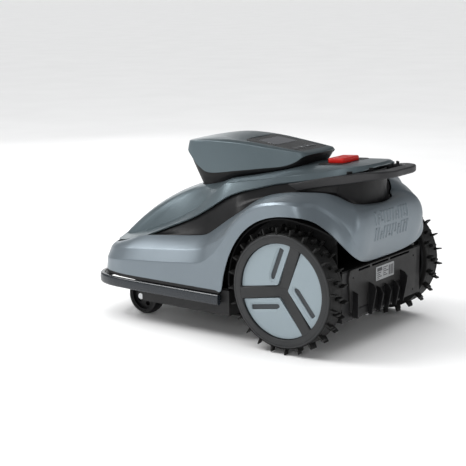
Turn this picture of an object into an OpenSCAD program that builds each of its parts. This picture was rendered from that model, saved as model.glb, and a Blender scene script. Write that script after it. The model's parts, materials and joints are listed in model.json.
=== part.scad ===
// Robotic lawn mower: two driven rear wheels, two swivelling front casters,
// a height adjustable cutting deck, a painted lower shell with fenders, a
// sweeping top cover and a raised camera and control pod.
// Units: millimetres.  +Z up, the mower drives towards -Y, its left side is +X.
// Origin: centre of the bounding box on the ground plane.

/* [Rear wheels] */
// Radius of the rear wheel over the lug tips
wheel_r = 125; // [110:0.5:140]
// Radius of the tyre between the lugs
tread_r = 113.6; // [100:0.1:130]
// Radius of the hub disc
hub_r = 110; // [95:0.5:120]
// Distance from the centre plane to the outer face of the hub
hub_face = 211.6; // [190:0.1:230]
// Width of the rear tyre
tyre_w = 47.4; // [35:0.1:60]
// Lugs in each of the three rows
lug_n = 24; // [16:1:30]
// Half width of the hub spokes
spoke_hw = 11.6; // [8:0.5:20]

/* [Casters] */
// Caster wheel radius
caster_r = 41; // [30:0.5:45]
// Caster tread width
caster_w = 30; // [20:1:40]
// Distance from the swivel axis to the wheel axle
caster_trail = 20; // [10:1:30]
// Side distance of the swivel axis from the centre plane
caster_x = 118; // [100:1:130]
// Swivel axis distance ahead of the rear axle
caster_y = 438; // [400:1:450]

/* [Cutting deck] */
// Cutting disc centre ahead of the rear axle
deck_y = 222; // [200:1:240]
// Cutting disc radius
disc_r = 98; // [80:1:105]
// Pivot circle radius of the blades
blade_pivot_r = 88; // [70:1:95]
// Height travel of the cutting deck
deck_travel = 40; // [20:1:45]
// Cutting height with the deck at its lowest
cut_low = 20; // [15:1:30]

/* [Shells] */
// Wall of the painted lower shell
shell_t = 2.4; // [1.6:0.1:3]
// Wall of the top cover
cover_t = 2.6; // [1.8:0.1:3]

/* [Hidden] */
$fn = 48;
// shift from the rear axle to the middle of the bounding box
yo = 187;
half_n = 44;           // shell columns in each half
axle_z = wheel_r;
c_paint = [0.45, 0.49, 0.53];
c_paint2 = [0.40, 0.45, 0.49];
c_black = [0.08, 0.08, 0.085];
c_dark = [0.16, 0.16, 0.17];
c_steel = [0.68, 0.69, 0.70];

// ---------- vector helpers ----------
function mx(p) = [-p[0], p[1], p[2]];
function unit(v) = v / max(norm(v), 1e-9);
function cr(a, b, c, d, t) = 0.5 * ((2 * b) + (c - a) * t + (2 * a - 5 * b + 4 * c - d) * t * t + (3 * b - a - 3 * c + d) * t * t * t);
// smooth curve through a table of points that starts and ends on the centre plane
function at(T, u) = let (n = len(T) - 1, i = min(floor(u), n - 1), t = u - i,
    a = i > 0 ? T[i - 1] : mx(T[1]), d = i + 2 <= n ? T[i + 2] : mx(T[n - 1]))
    cr(a, T[i], T[i + 1], d, t);
// smooth curve through a table with free ends
function ato(T, u) = let (n = len(T) - 1, i = min(floor(u), n - 1), t = u - i,
    a = i > 0 ? T[i - 1] : 2 * T[0] - T[1], d = i + 2 <= n ? T[i + 2] : 2 * T[n] - T[n - 1])
    cr(a, T[i], T[i + 1], d, t);
function bez(a, b, c, d, t) = a * pow(1 - t, 3) + b * 3 * t * pow(1 - t, 2) + c * 3 * t * t * (1 - t) + d * pow(t, 3);
// plan direction pointing to the inside of a ring of points
function inw(T, u) = let (n = len(T) - 1, e = 0.05,
    a = u - e < 0 ? mx(at(T, e - u)) : at(T, u - e), b = u + e > n ? mx(at(T, 2 * n - u - e)) : at(T, u + e),
    d = unit([b[0] - a[0], b[1] - a[1], 0])) [-d[1], d[0], 0];
// mirror the left half columns to a closed ring of columns
function ring(L) = let (n = len(L) - 1) [for (k = [0 : 2 * n - 1]) k <= n ? L[k] : [for (p = L[2 * n - k]) mx(p)]];
function nrm(R, k, j) = let (n = len(R), m = len(R[0]) - 1,
    du = R[(k + 1) % n][j] - R[(k + n - 1) % n][j],
    dv = R[k][min(j + 1, m)] - R[k][max(j - 1, 0)]) unit(cross(du, dv));
function inset(R, t) = [for (k = [0 : len(R) - 1]) [for (j = [0 : len(R[0]) - 1]) R[k][j] - nrm(R, k, j) * t]];
function flat(L) = [for (a = L) for (b = a) b];

// thin wall between a closed ring of columns and a second ring behind it
module ring_shell(R, I) {
    n = len(R); m = len(R[0]); o = n * m;
    polyhedron(points = concat(flat(R), flat(I)), convexity = 10, faces = concat(
        flat([for (k = [0 : n - 1]) let (q = (k + 1) % n) flat([for (j = [0 : m - 2])
            [[k * m + j, k * m + j + 1, q * m + j + 1], [k * m + j, q * m + j + 1, q * m + j],
             [o + k * m + j, o + q * m + j + 1, o + k * m + j + 1], [o + k * m + j, o + q * m + j, o + q * m + j + 1]]])]),
        flat([for (k = [0 : n - 1]) let (q = (k + 1) % n, t = m - 1)
            [[k * m, q * m, o + q * m], [k * m, o + q * m, o + k * m],
             [k * m + t, o + q * m + t, q * m + t], [k * m + t, o + k * m + t, o + q * m + t]]])));
}
// solid through a list of closed sections, capped at both ends
module loft(S) {
    n = len(S); m = len(S[0]);
    polyhedron(points = flat(S), convexity = 10, faces = concat(
        flat([for (k = [0 : n - 2]) flat([for (j = [0 : m - 1]) let (i = (j + 1) % m)
            [[k * m + j, (k + 1) * m + j, (k + 1) * m + i], [k * m + j, (k + 1) * m + i, k * m + i]]])]),
        [[for (j = [0 : m - 1]) j], [for (j = [m - 1 : -1 : 0]) (n - 1) * m + j]]));
}
module rbox(x, y, z, r) { translate([0, 0, 0]) linear_extrude(z) rrect(x, y, r); }
module rrect(x, y, r) {
    square([x - 2 * r, y], center = true);
    square([x, y - 2 * r], center = true);
    for (a = [-1, 1], b = [-1, 1]) translate([a * (x / 2 - r), b * (y / 2 - r)]) circle(r, $fn = 24);
}
module both() { children(); mirror([1, 0, 0]) children(); }
module xcyl(r, x0, x1, f = 48) { translate([x0, 0, 0]) rotate([0, 90, 0]) cylinder(r = r, h = x1 - x0, $fn = f); }
// everything below is written from the rear axle, this puts it into the frame of the part
module body() { translate([0, yo, 0]) children(); }

// ---------- lower shell: lines from the nose centre round the left side to the tail centre ----------
LA = [[0,-520,103],[80,-517,103],[144,-503,103],[180,-474,103],[195,-436,103],[200,-392,103],[200.5,-330,103],[201,-260,103],
      [201,-200,103],[201,-168,103],[201.5,-152,103],[202,-143,140],[203,-126,185],[203,-98,226],[203,-62,253],[203,-20,267],
      [201,28.6,270.5],[188,58.8,265.4],[175,85,246.6],[157,104.9,218.7],[140,115.1,198.9],[120,116.8,186.5],[95,113,177],[58,108,171],
      [0,105,169]];
LB = [[0,-519,124],[80,-516,124],[143,-501,125],[179,-472,127],[194,-434,131],[199,-392,136],[200,-328,141],[200,-258,147],
      [200,-206,154],[201,-178,171],[203,-157,190],[204,-140,211],[205,-119,236],[205.5,-92,261],[205.5,-58,281],[204,-15.7,290.8],
      [195,25.9,292],[168,48.3,285.6],[156,76.6,269.6],[146,102.3,244.7],[137,116.5,219.7],[118,118.2,198.2],[93,115.5,182],[58,109.6,173.5],
      [0,106.7,171.4]];
LC = [[0,-514,143],[79,-511,143],[140,-495,145],[171,-464,150],[183,-428,155],[186,-390,159],[186,-326,165],[186,-256,172],
      [187,-210,180],[192,-183,194],[198,-160,204],[200,-141,220],[201,-120,244],[202,-92,269],[202,-58,288],[199,-16.4,296.6],
      [189,24.6,297.6],[163,47.7,291.5],[152,77.6,276.8],[142,102.7,251.5],[134,116.6,225.4],[116.5,118.9,201.1],[93,116,184],[58,110,174.5],
      [0,107,172]];
LD = [[0,-506,153],[77,-503,153],[134,-485,156],[159,-452,163],[161,-420,173],[159,-386,183],[156,-322,190],[154,-252,197],
      [152,-222,203],[151,-195,220],[150,-172,236],[150,-152,249],[150,-130,263],[150,-98,284],[150,-62,299],[150,-20,307],
      [135,16.4,308.3],[118,43.9,306.4],[99,61,298.3],[89,68.7,291.1],[83,70.3,286],[78,72.5,283.1],[70,80,281],[50,91,279],
      [0,98,277]];
// control points of the upper skin on the rear corner and tail
K1 = [[154,55.4,293.5],[141.7,83.8,283.3],[135,107.7,271.7],[129.3,124.8,258.2],[116.3,130.8,242.1],[94,131,228],[60,129,219],[0,128,215]];
K2 = [[134,51.1,301.5],[117.3,73.9,297.8],[109,95.7,294.9],[107.2,113.1,297.1],[101.2,124.7,296.1],[87,132,296],[56,136,296],[0,136,296]];
function ls_k(i, s) = i < 17 ? LC[i] + (LD[i] - LC[i]) * s / 3 + [1.6, 0, 2.6] * min(1, i / 3) : s == 1 ? K1[i - 17] : K2[i - 17];
LK1 = [for (i = [0 : 24]) ls_k(i, 1)];
LK2 = [for (i = [0 : 24]) ls_k(i, 2)];
function ls_col(u) = let (c = at(LC, u), d = at(LD, u), a = at(LK1, u), b = at(LK2, u))
    concat([at(LA, u), at(LB, u), c], [for (t = [1 : 6]) bez(c, a, b, d, t / 6)]);
function ls_ring() = ring([for (k = [0 : half_n]) ls_col(k * 24 / half_n)]);

// ---------- top cover ----------
CP = [[0,-506,158],[70,-503,158],[127,-486,160],[150,-455,165],[152,-425,171],[149,-392,180],[143,-330,206],[140,-270,231],
      [137,-232,252],[134,-205,269],[132,-185,281],[131,-165,290],[130,-145,297],[129,-110,306],[124,-72,316],[113,-28,323],
      [97,20,331],[82,58,339],[70,80,344],[60,92,348],[50,98,351],[38,101.5,352.5],[26,103.5,353],[13,104,353],[0,104,353]];
CR = [[0,-497,172],[66,-494,172],[114,-475,171],[125,-450,174],[124,-423,182],[121,-392,193],[120,-334,216],[118,-275,247],
      [114,-238,277],[111,-208,301],[110,-186,307],[110,-168,310.5],[110,-148,314],[110,-112,319.5],[108,-72,327],[99,-28,333.5],
      [83,22,342],[72,58,350],[62,77,354],[53,87,355],[44,92.5,356],[34,96,356.5],[23,98,357],[12,99,357],[0,99,357]];
CQ = [[0,-306,290],[30,-306,289.5],[55,-303,289],[70,-295,288.5],[76,-282,289.5],[78,-268,292],[78,-250,296],[77,-232,301],
      [76,-215,306],[75,-198,310.5],[74,-182,314.5],[73,-166,318],[72,-148,322],[69,-118,328.5],[64,-84,336],[57,-64,341.5],
      [48,-56,344],[38,-52,346],[28,-50,347],[20,-49,347.5],[15,-48.5,348],[11,-48.2,348],[7,-48,348],[3.5,-48,348],[0,-48,348]];
// fullness of the skin between crease and opening
CW = [16,16,15,14,13,12,11,10,8,5,4,3.5,3,3,3,3.5,4,3,2,1.5,1.2,1,1,1,1];
CK = [for (i = [0 : 24]) (CR[i] + CQ[i]) / 2 + [0, i < 4 ? -3 : 0, CW[i]]];
function tc_col(u) = let (r = at(CR, u), q = at(CQ, u), k = at(CK, u) * 2 - (r + q) / 2)
    concat([at(CP, u)], [for (t = [0 : 6]) let (s = t / 6) r * pow(1 - s, 2) + k * 2 * s * (1 - s) + q * s * s]);
function tc_ring() = ring([for (k = [0 : half_n]) tc_col(k * 24 / half_n)]);

// ---------- mid shell: dark wall between the lower shell and the cover, and the boot under the handle ----------
MR = [[84,52,334],[73,64,337],[62,73,339],[52,79,340],[42,84,341],[29,87.5,342],[15,89,342],[0,89,342]];
function ms_col(u) = let (d = at(LD, u), i = inw(LD, u), p = at(CP, u), j = inw(CP, u), f = min(max(u - 15, 0) / 2, 1),
    a = p + j * 6 - [0, 0, 3], b = ato(MR, max(u - 17, 0)), q = a * (1 - f) + b * f,
    g = min(max(u - 11, 0) / 2.5, 1), e = d + i * 3.2, h = 0.5 + 0.42 * g, m = e * (1 - h) + q * h, w = 4 * min(max(7.5 - u, 0) / 2, 1))
    [e - [0, 0, 8], e, [m[0], m[1], m[2] * (1 - g) + (d[2] - 8) * g - w], q, q + j * 8 + [0, 0, 2.2 - 3.2 * f]];
function ms_ring() = ring([for (k = [0 : half_n]) ms_col(k * 24 / half_n)]);

// ---------- pod shell ----------
PP = [[0,-338,367],[48,-336,366],[77,-328,362],[87,-312,349],[89,-290,329],[88,-262,318],[85,-200,326],[80,-140,335],
      [72,-92,342],[66,-66,351],[60,-50,362],[48,-43,366],[24,-41,367],[0,-40,367]];
PS = [[0,-335,380],[46,-333,380],[73,-326,380.5],[82,-311,381],[83.5,-288,382],[82,-262,383],[77,-200,382],[71,-140,377.5],
      [64,-92,373.5],[60,-68,371.6],[55,-52,370.6],[45,-46.5,370.2],[24,-45,370],[0,-44,370]];
PQ = [[0,-196,389.4],[28,-196,389],[47,-195,388.2],[55.5,-190,387],[57,-183,386.1],[56.8,-172,384.9],[55.8,-150,382.6],[54.5,-124,379.8],
      [53,-94,376.5],[51.5,-76,374.6],[49,-64,373.4],[41,-58.5,372.9],[22,-57,372.8],[0,-57,372.8]];
PW = [7,6.5,5.5,4.5,4,3.6,2.6,1.6,1,0.6,0.4,0.3,0.2,0.2];
PK = [for (i = [0 : 13]) (PS[i] + PQ[i]) / 2 + [0, 0, PW[i]]];
function ps_col(u) = let (p = at(PP, u), r = at(PS, u), q = at(PQ, u), k = at(PK, u) * 2 - (r + q) / 2)
    concat([p, p * 0.5 + r * 0.5 + [0, 0, 0.8] + unit([r[0], 0, 0]) * (u > 2 && u < 11 ? 0.8 : 0)],
    [for (t = [0 : 4]) let (s = t / 4) r * pow(1 - s, 2) + k * 2 * s * (1 - s) + q * s * s]);
function ps_ring() = ring([for (k = [0 : 32]) ps_col(k * 13 / 32)]);

module lower_shell() color(c_paint) body() { R = ls_ring(); ring_shell(R, inset(R, shell_t)); }
module mid_shell() color(c_black) body() { R = ms_ring(); ring_shell(R, inset(R, 2.2)); }
module top_cover() color(c_paint2) difference() {
    body() { R = tc_ring(); ring_shell(R, inset(R, cover_t)); }
    stop_frame() translate([0, 0, -20]) linear_extrude(30) rrect(113, 63, 14.5);
}
module pod_shell() color(c_paint2) body() { R = ps_ring(); ring_shell(R, inset(R, 2)); }

// ---------- pod base: dark wall from the opening of the cover up into the pod shell ----------
CU = [0,1.6,2.7,3.4,4.3,5.5,8.6,11.6,13.5,14.6,15.6,16.8,19.5,24];
function cu(v) = let (i = min(floor(v), 12)) CU[i] + (CU[i + 1] - CU[i]) * (v - i);
function pb_col(v) = let (w = cu(v), c = at(CQ, w) + inw(CQ, w) * 1.7, p = at(PP, v) + inw(PP, v) * 3.4,
    t = min(max(v - 9.5, 0), 1))
    [c - [0, 0, 9], c + [0, 0, 0.8], c * 0.35 + p * 0.65 - [0, 0, 3], p - [0, 0, 2], p + [0, 0, 4 - 4.8 * t]];
function pb_ring() = ring([for (k = [0 : 32]) pb_col(k * 13 / 32)]);
// tilt of the display face and the point it is measured from
disp_a = 6.81;
module disp() body() translate([0, -196, 389.2]) rotate([-disp_a, 0, 0]) children();
function disp_pt(v, o) = let (p = at(PQ, v) + inw(PQ, v) * o) [p[0], (p[1] + 196) / cos(disp_a)];
module disp_shape(o) polygon(concat([for (k = [0 : 26]) disp_pt(k / 2, o)], [for (k = [25 : -1 : 1]) let (q = disp_pt(k / 2, o)) [-q[0], q[1]]]));
key_y = 112;
key_x = [-31.5, -10.5, 10.5, 31.5];

module pod_base() color(c_black) body() { R = pb_ring(); ring_shell(R, inset(R, 2)); }
module display_panel() color([0.03, 0.03, 0.035]) disp() difference() {
    translate([0, 0, -3.4]) linear_extrude(2.6) disp_shape(0.7);
    for (x = key_x) translate([x, key_y, -4]) cylinder(r = 8.4, h = 4);
    translate([0, 46, -1.8]) linear_extrude(2) rrect(74.6, 48.6, 5.3);
}
module screen_window() color([0.02, 0.05, 0.06]) disp() translate([0, 46, -1.7]) linear_extrude(1.2) rrect(74, 48, 5);
module key(i) color([0.2, 0.2, 0.21]) disp() translate([key_x[i], key_y, 0]) {
    cylinder_at(8, -4.8, 0);
    cylinder_at(9.6, -4.8, -3.8);
}
module key_power() key(0);
module key_home() key(1);
module key_mow() key(2);
module key_ok() key(3);
module key_membrane() color([0.12, 0.12, 0.12]) disp() translate([0, key_y, -9]) linear_extrude(1.2) rrect(88, 26, 4);

// ---------- cameras on the front face of the pod ----------
module cam() body() translate([0, -322.4, 331]) rotate([90 + 20.9, 0, 0]) children();
module camera_bezel() color([0.02, 0.02, 0.025]) cam() difference() {
    linear_extrude(3.4) rrect(112, 44, 10);
    for (x = [-34, 34]) translate([x, 0, -1]) cylinder(r = 11.2, h = 6);
}
module camera_lenses() color([0.05, 0.06, 0.08]) cam() for (x = [-34, 34]) translate([x, 0, 0.3]) lens();
module lens() rotate_extrude($fn = 48) polygon([[0, 0], [11, 0], [11, 3.8], [9.6, 4.4], [8.6, 3.4], [6.4, 2.6], [5.4, 4], [3, 4.8], [0, 5.1]]);

// ---------- stop button ----------
stop_c = [0, 10, 0];
module stop_frame() body() translate([0, 10, 351.6]) rotate([3.4, 0, 0]) children();
module stop_bezel() color([0.05, 0.05, 0.055]) stop_frame() difference() {
    union() {
        translate([0, 0, -8]) linear_extrude(9) rrect(112, 62, 14);
        translate([0, 0, -16]) linear_extrude(9) rrect(70, 50, 8);
    }
    translate([0, 0, -5.4]) linear_extrude(8) rrect(61, 41, 6.5);
    translate([0, 0, -14]) cylinder(r = 10.8, h = 10);
    translate([0, 0, -20]) cylinder(r = 6.06, h = 20);
}
module stop_button() color([0.85, 0.1, 0.06]) stop_frame() {
    translate([0, 0, -0.8]) linear_extrude(9.6) rrect(60, 40, 6);
    translate([0, 0, 8.7]) linear_extrude(1.1) rrect(57.4, 37.4, 5);
    translate([0, 0, -22]) cylinder(r = 6, h = 22);
}
module stop_spring() color(c_steel) stop_frame() for (k = [0 : 4]) translate([0, 0, -13.2 + k * 2.9]) rotate_extrude($fn = 36) translate([9, 0]) circle(0.6, $fn = 14);

// ---------- rear handle, swept from the tail centre to the front tips ----------
HC = [[0,137,342],[30,137,342],[47,134,342],[59.5,126,341],[69.5,111,339],[78.5,91,335.5],[88.5,66,331],[99.5,37,326.5],[109.5,5,320],[117.6,-24,313.3],[121.4,-41,310.4]];
HW = [[13,7,0],[13,7,0],[12.4,7,0],[11,7.4,0],[8,8.2,0],[6,8.8,0],[5,9,0],[4.8,9,0],[4.8,8.7,0],[4.6,8.6,0],[4.4,8.4,0]];
function hat(T, u) = let (n = len(T) - 1, i = min(floor(u), n - 1), t = u - i,
    a = i > 0 ? T[i - 1] : [-T[1][0], T[1][1], T[1][2]], d = i + 2 <= n ? T[i + 2] : 2 * T[n] - T[n - 1]) cr(a, T[i], T[i + 1], d, t);
function hw(u) = let (i = min(floor(u), 9)) HW[i] + (HW[i + 1] - HW[i]) * (u - i);
function h_sec(u) = let (c = hat(HC, u), b = hat(HC, min(u + 0.05, 10)), a = u < 0.05 ? mx(hat(HC, 0.05 - u)) : hat(HC, u - 0.05),
    d = unit([b[0] - a[0], b[1] - a[1], 0]), o = [-d[1], d[0], 0], w = hw(u)[0], z = hw(u)[1], r = min(w, z) * 0.45, v = 0.6 * max(u - 8, 0))
    [for (q = [[1, -1, 0, 1], [1, -1, 1, 0], [1, 1, 1, 0], [1, 1, 0, 1], [-1, 1, 0, 1], [-1, 1, 1, 0], [-1, -1, 1, 0], [-1, -1, 0, 1]])
        let (y = q[1] * (z - r * q[2])) (v > 0 ? hat(HC, u - v * (1 - y / z) / 2) : c) + o * (q[0] * (w - r * q[3])) + [0, 0, y]];
module rear_handle() color(c_black) body() loft([for (k = [-40 : 40]) k < 0 ? [for (p = h_sec(-k / 4)) mx(p)] : [for (p = h_sec(k / 4)) p]]);
module handle_clips() color([0.05, 0.05, 0.05]) body() both() {
    translate([79.3, 72.3, 341.3]) rotate([0, 0, -38]) translate([-5.5, -1.7, 0]) cube([11, 3.4, 5]);
    translate([52.6, 102.6, 346]) rotate([0, 0, 40]) translate([-1.8, -2.5, 0]) cube([3.6, 9, 7]);
}

// ---------- bumper ----------
BP = [[0,-523.2,0],[86,-521,0],[148,-513,0],[182,-494,0],[198,-460,0],[202.5,-415,0],[203.2,-360,0],[203.4,-300,0],[203.4,-240,0],[203,-195,0],[202.4,-158,0]];
BS = [[0.8, 83], [0, 91], [-2.4, 94], [-9, 93], [-9, 74], [-2.4, 72], [0, 75]];
function b_sec(u) = let (c = hat(BP, u), b = hat(BP, min(u + 0.05, 10)), a = u < 0.05 ? mx(hat(BP, 0.05 - u)) : hat(BP, u - 0.05),
    d = unit([b[0] - a[0], b[1] - a[1], 0]), o = [d[1], -d[0], 0]) [for (q = BS) c + o * q[0] + [0, 0, q[1]]];
module front_bumper() color([0.06, 0.07, 0.09]) body() {
    loft([for (k = [-40 : 40]) k < 0 ? [for (p = b_sec(-k / 4)) mx(p)] : b_sec(k / 4)]);
}
module bumper_springs() color(c_steel) body() for (x = [-60, 60]) translate([x / 2.4, -513.8, 84]) rotate([-90, 0, 0])
    for (k = [0 : 3]) translate([0, 0, 0.9 + k * 2.8]) rotate_extrude($fn = 32) translate([3.2, 0]) circle(0.6, $fn = 14);

// ---------- chassis ----------
// outline of the floor ahead of the rear wheels
NP = [[0,-500,0],[80,-498,0],[130,-490,0],[164,-470,0],[181,-440,0],[188,-400,0],[189,-372,0]];
function np(u) = let (n = 6, i = min(floor(u), n - 1), t = u - i, a = i > 0 ? NP[i - 1] : mx(NP[1]), d = i + 2 <= n ? NP[i + 2] : NP[n] + [0, 28, 0]) cr(a, NP[i], NP[i + 1], d, t);
module plan_front(o, y1) polygon(concat([for (k = [0 : 12]) let (p = np(k / 2)) [p[0] - o * min(1, p[0] / 60), p[1] + o]], [[189 - o, y1], [-189 + o, y1]],
    [for (k = [12 : -1 : 1]) let (p = np(k / 2)) [-p[0] + o * min(1, p[0] / 60), p[1] + o]]));
module bq(x0, x1, y0, y1, z0, z1) translate([x0, y0, z0]) cube([x1 - x0, y1 - y0, z1 - z0]);
module chassis_tub() color(c_dark) body() difference() {
    union() {
        // raised nose over the casters
        translate([0, 0, 92]) linear_extrude(3) plan_front(0, -370);
        translate([0, 0, 92]) difference() { linear_extrude(10) plan_front(0, -370); translate([0, 0, -1]) linear_extrude(12) plan_front(3, -360); }
        // inner skirt that closes the slit between the bumper and the shells
        translate([0, 0, 95.3]) difference() { linear_extrude(6.6) plan_front(-8, -160); translate([0, 0, -1]) linear_extrude(9) plan_front(-5.4, -140); }
        translate([0, 0, 95.3]) difference() { linear_extrude(2) plan_front(-7, -160); translate([0, 0, -1]) linear_extrude(9) plan_front(2, -140); }
        // middle pan around the cutting deck
        difference() { bq(-189, 189, -370, -140, 50, 102); bq(-186, 186, -367, -143, 53, 103); }
        translate([0, -deck_y, 50]) cylinder(r = 135, h = 52, $fn = 96);
        // rear box between the wheels
        difference() { bq(-152, 152, -143, 102, 64, 161.5); bq(-149, 149, -140, 99, 67, 163); }
        both() translate([caster_x, -caster_y, 92]) cylinder(r = 14, h = 36);
        both() bq(110, 149, -46, 46, 67, 88);
        // seat of the bumper springs
        bq(-44, 44, -503, -497, 76, 93.4);
        both() for (y = [-350, -160]) translate([172, y, 50]) cylinder(r = 6.5, h = 9);
    }
    translate([0, -deck_y, 49]) cylinder(r = 132, h = 54, $fn = 96);
    both() translate([caster_x, -caster_y, 90]) cylinder(r = 9.6, h = 40);
    both() translate([129.5, 0, 125]) rotate([0, 90, 0]) cylinder(r = 36.2, h = 39, center = true);
    both() translate([0, 0, axle_z]) xcyl(17, 140, 156);
    bq(-60, 60, -54, 92, 60, 68);
    bq(-110, 110, 95, 105, 156, 163);
    both() for (y = [-57.5, 95.5]) translate([50, y, 62]) cylinder(r = 1.6, h = 6);
    both() for (y = [-350, -160]) translate([172, y, 49]) { cylinder(r = 4.2, h = 3.8); cylinder(r = 1.6, h = 9); }
    // windows for the charging contacts
    both() bq(14.4, 41.6, -511, -500.1, 95, 102.5);
}
module chassis_lid() color([0.12, 0.12, 0.125]) body() difference() {
    union() {
        translate([0, 0, 102.3]) linear_extrude(3) plan_front(3, -143.3);
        translate([0, -deck_y, 102.3]) cylinder(r = 54, h = 26);
        for (x = [-84, 84], y = [-478, -402]) translate([x, y, 105]) cylinder(r = 4, h = 5);
        both() for (y = [-340, -170]) translate([150, y, 105]) cylinder(r = 7, h = 30);
        bq(-151, 151, -146.3, -143.3, 102.3, 164.8);
        bq(-151, 151, -146.3, 101.5, 161.8, 164.8);
    }
    both() for (y = [-130, 90]) translate([142, y, 160]) cylinder(r = 2.2, h = 6);
    translate([0, -deck_y, 100]) cylinder(r = 48.08, h = 40, $fn = 72);
    both() translate([caster_x, -caster_y, 100]) cylinder(r = 16, h = 8);
    for (x = [-84, 84], y = [-478, -402]) translate([x, y, 104]) cylinder(r = 1.5, h = 8);
    both() for (y = [-340, -170]) translate([150, y, 112]) cylinder(r = 2, h = 30);
}
module screw_head(r) difference() { cylinder(r = r, h = r * 0.6); translate([0, 0, r * 0.25]) cylinder(r = r * 0.5, h = r, $fn = 6); }
module wheel_liner() body() translate([0, 0, axle_z]) difference() {
    union() {
        difference() { xcyl(139.4, 155.5, 192, 96); xcyl(136.8, 158.5, 193, 96); }
    }
    xcyl(30, 150, 160);
    bq(150, 200, -200, 200, -200, -12);
    rotate([46, 0, 0]) bq(150, 200, 0, 200, -200, 0);
    bq(150, 200, 40, 200, -200, 60);
    // follows the plan of the shell round the rear corner
    linear_extrude(300, center = true) polygon([[194, 28], [181, 57], [167, 80], [152, 97], [140, 160], [230, 160], [230, 28]]);
}
module wheel_liners() color(c_black) both() wheel_liner();

// ---------- rear panel ----------
module rear_panel() color([0.2, 0.2, 0.205]) body() difference() {
    translate([0, 106, 0]) rotate([90, 0, 0]) linear_extrude(3.4) polygon([[-112, 68], [112, 68], [126, 84], [128, 108], [134, 150], [128, 164], [-128, 164], [-134, 150], [-128, 108], [-126, 84]]);
    for (s = [[55.9, 97.8], [-16.1, 47.4], [-100.7, -22.4]]) bq(s[0], s[1], 100, 108, 157.5, 161.5);
    bq(-38.3, 32.3, 104.8, 108, 123.7, 152.3);
    both() for (z = [76, 148]) translate([118, 107, z]) rotate([90, 0, 0]) cylinder(r = 1.6, h = 6);
}
module rating_plate() color([0.75, 0.76, 0.77]) body() bq(-38, 32, 104.9, 106.3, 124, 152);
module rear_guard() color(c_black) body() {
    bq(-64, 122, 106.4, 108.4, 70, 84);
    bq(-64, 64, 106.4, 108.4, 84, 108);
    for (x = [-62, 62]) fin(x, [[107, 130], [118, 126], [124.8, 117], [123, 104], [115, 65], [107, 65]]);
    for (x = [-31, 0, 31]) fin(x, [[107, 115], [117, 111], [123.4, 101], [116, 64], [107, 64]]);
    fin(120, [[107, 123], [119, 118], [119, 70], [107, 70]]);
}
module fin(x, p) translate([x - 1.2, 0, 0]) rotate([90, 0, 90]) linear_extrude(2.4) polygon(p);

// ---------- drive ----------
module wheel_motor() body() translate([0, 0, axle_z]) difference() {
    union() {
        xcyl(33, 112, 148.6);
        xcyl(14, 148, 157);
        xcyl(21, 62, 112);
        xcyl(6, 56, 62);
    }
    xcyl(8.05, 120, 160);
}
module wheel_motors() color([0.3, 0.3, 0.32]) { wheel_motor(); rotz() wheel_motor(); }
module rotz() body() rotate([0, 0, 180]) translate([0, -yo, 0]) children();
module drive_shaft() body() translate([0, 0, axle_z]) { xcyl(8, 124, 178.5); xcyl(6, 178.4, 194); }
module drive_shaft_left() color(c_steel) drive_shaft();
module drive_shaft_right() color(c_steel) rotz() drive_shaft();

// ---------- rear wheels ----------
// one sector between two spokes whose edges stay at the same distance from the spoke centre lines
module petal(o, r, x0, x1) intersection() {
    xcyl(r, x0, x1, 96);
    translate([x0 - 1, 0, 0]) rotate([90, 0, 90]) linear_extrude(x1 - x0 + 2)
        polygon([for (p = [[0, 0], [220, 0], [60, 220 * sin(120)], [220 * cos(120), 220 * sin(120)]]) p + [o / tan(60), o]]);
}
module slot(w, d, x0, x1) {
    for (y = [16, 73]) translate([0, y, 30]) xcyl(w / 2, x0, x1, 32);
    translate([x0, 16, 30 - w / 2]) cube([x1 - x0, 57, w]);
}
module hub() body() translate([0, 0, axle_z]) difference() {
    rotate([0, 90, 0]) rotate_extrude($fn = 96) polygon([[0, 202.4], [88, 208.8], [93.5, 211], [96, hub_face], [hub_r, hub_face], [hub_r + 2, hub_face - 2], [hub_r + 2, 207],
        [104, 207], [104, 166], [99, 166], [99, 193], [28, 191], [24, 179], [6.02, 179], [6.02, 196], [0, 196]]);
    for (a = [69, 189, 309]) rotate([a, 0, 0]) petal(spoke_hw, 94.5, 199.6, 214);
}
module hub_left() color([0.25, 0.24, 0.23]) hub();
module hub_right() color([0.25, 0.24, 0.23]) rotz() hub();
module inserts() body() translate([0, 0, axle_z]) for (a = [69, 189, 309]) rotate([a, 0, 0]) difference() {
    petal(spoke_hw + 0.6, 94, 199.8, 206.8);
    slot(11, 0, 204.6, 208);
    slot(18, 0, 206.1, 208);
}
module inserts_left() color([0.63, 0.69, 0.72]) inserts();
module inserts_right() color([0.63, 0.69, 0.72]) rotz() inserts();
module tyre() body() translate([0, 0, axle_z]) {
    rotate([0, 90, 0]) rotate_extrude($fn = 96) polygon([[104.1, 165], [108, 164.2], [112.6, 164.2], [tread_r, 165.4], [tread_r, 209.6], [112.6, 210.6], [112.3, 206.7], [104.1, 206.7]]);
    for (k = [0 : lug_n - 1]) {
        rotate([k * 360 / lug_n + 4, 0, 0]) lug(197, 211.2, 2.2, 1.3, 0);
        rotate([k * 360 / lug_n + 9.5, 0, 0]) lug(164.4, 178.4, 2.2, 1.3, 0);
        rotate([k * 360 / lug_n + 14, 0, 0]) lug(180.5, 195, 3.2, 2.4, 1.6);
    }
}
module lug(x0, x1, b, t, d) translate([x0, 0, 0]) rotate([90, 0, 90]) linear_extrude(x1 - x0)
    polygon([[tread_r - 0.8, -b], [wheel_r - d, -t], [wheel_r - d, t], [tread_r - 0.8, b]]);
module tyre_left() color([0.05, 0.05, 0.05]) tyre();
module tyre_right() color([0.05, 0.05, 0.05]) rotz() tyre();

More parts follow.
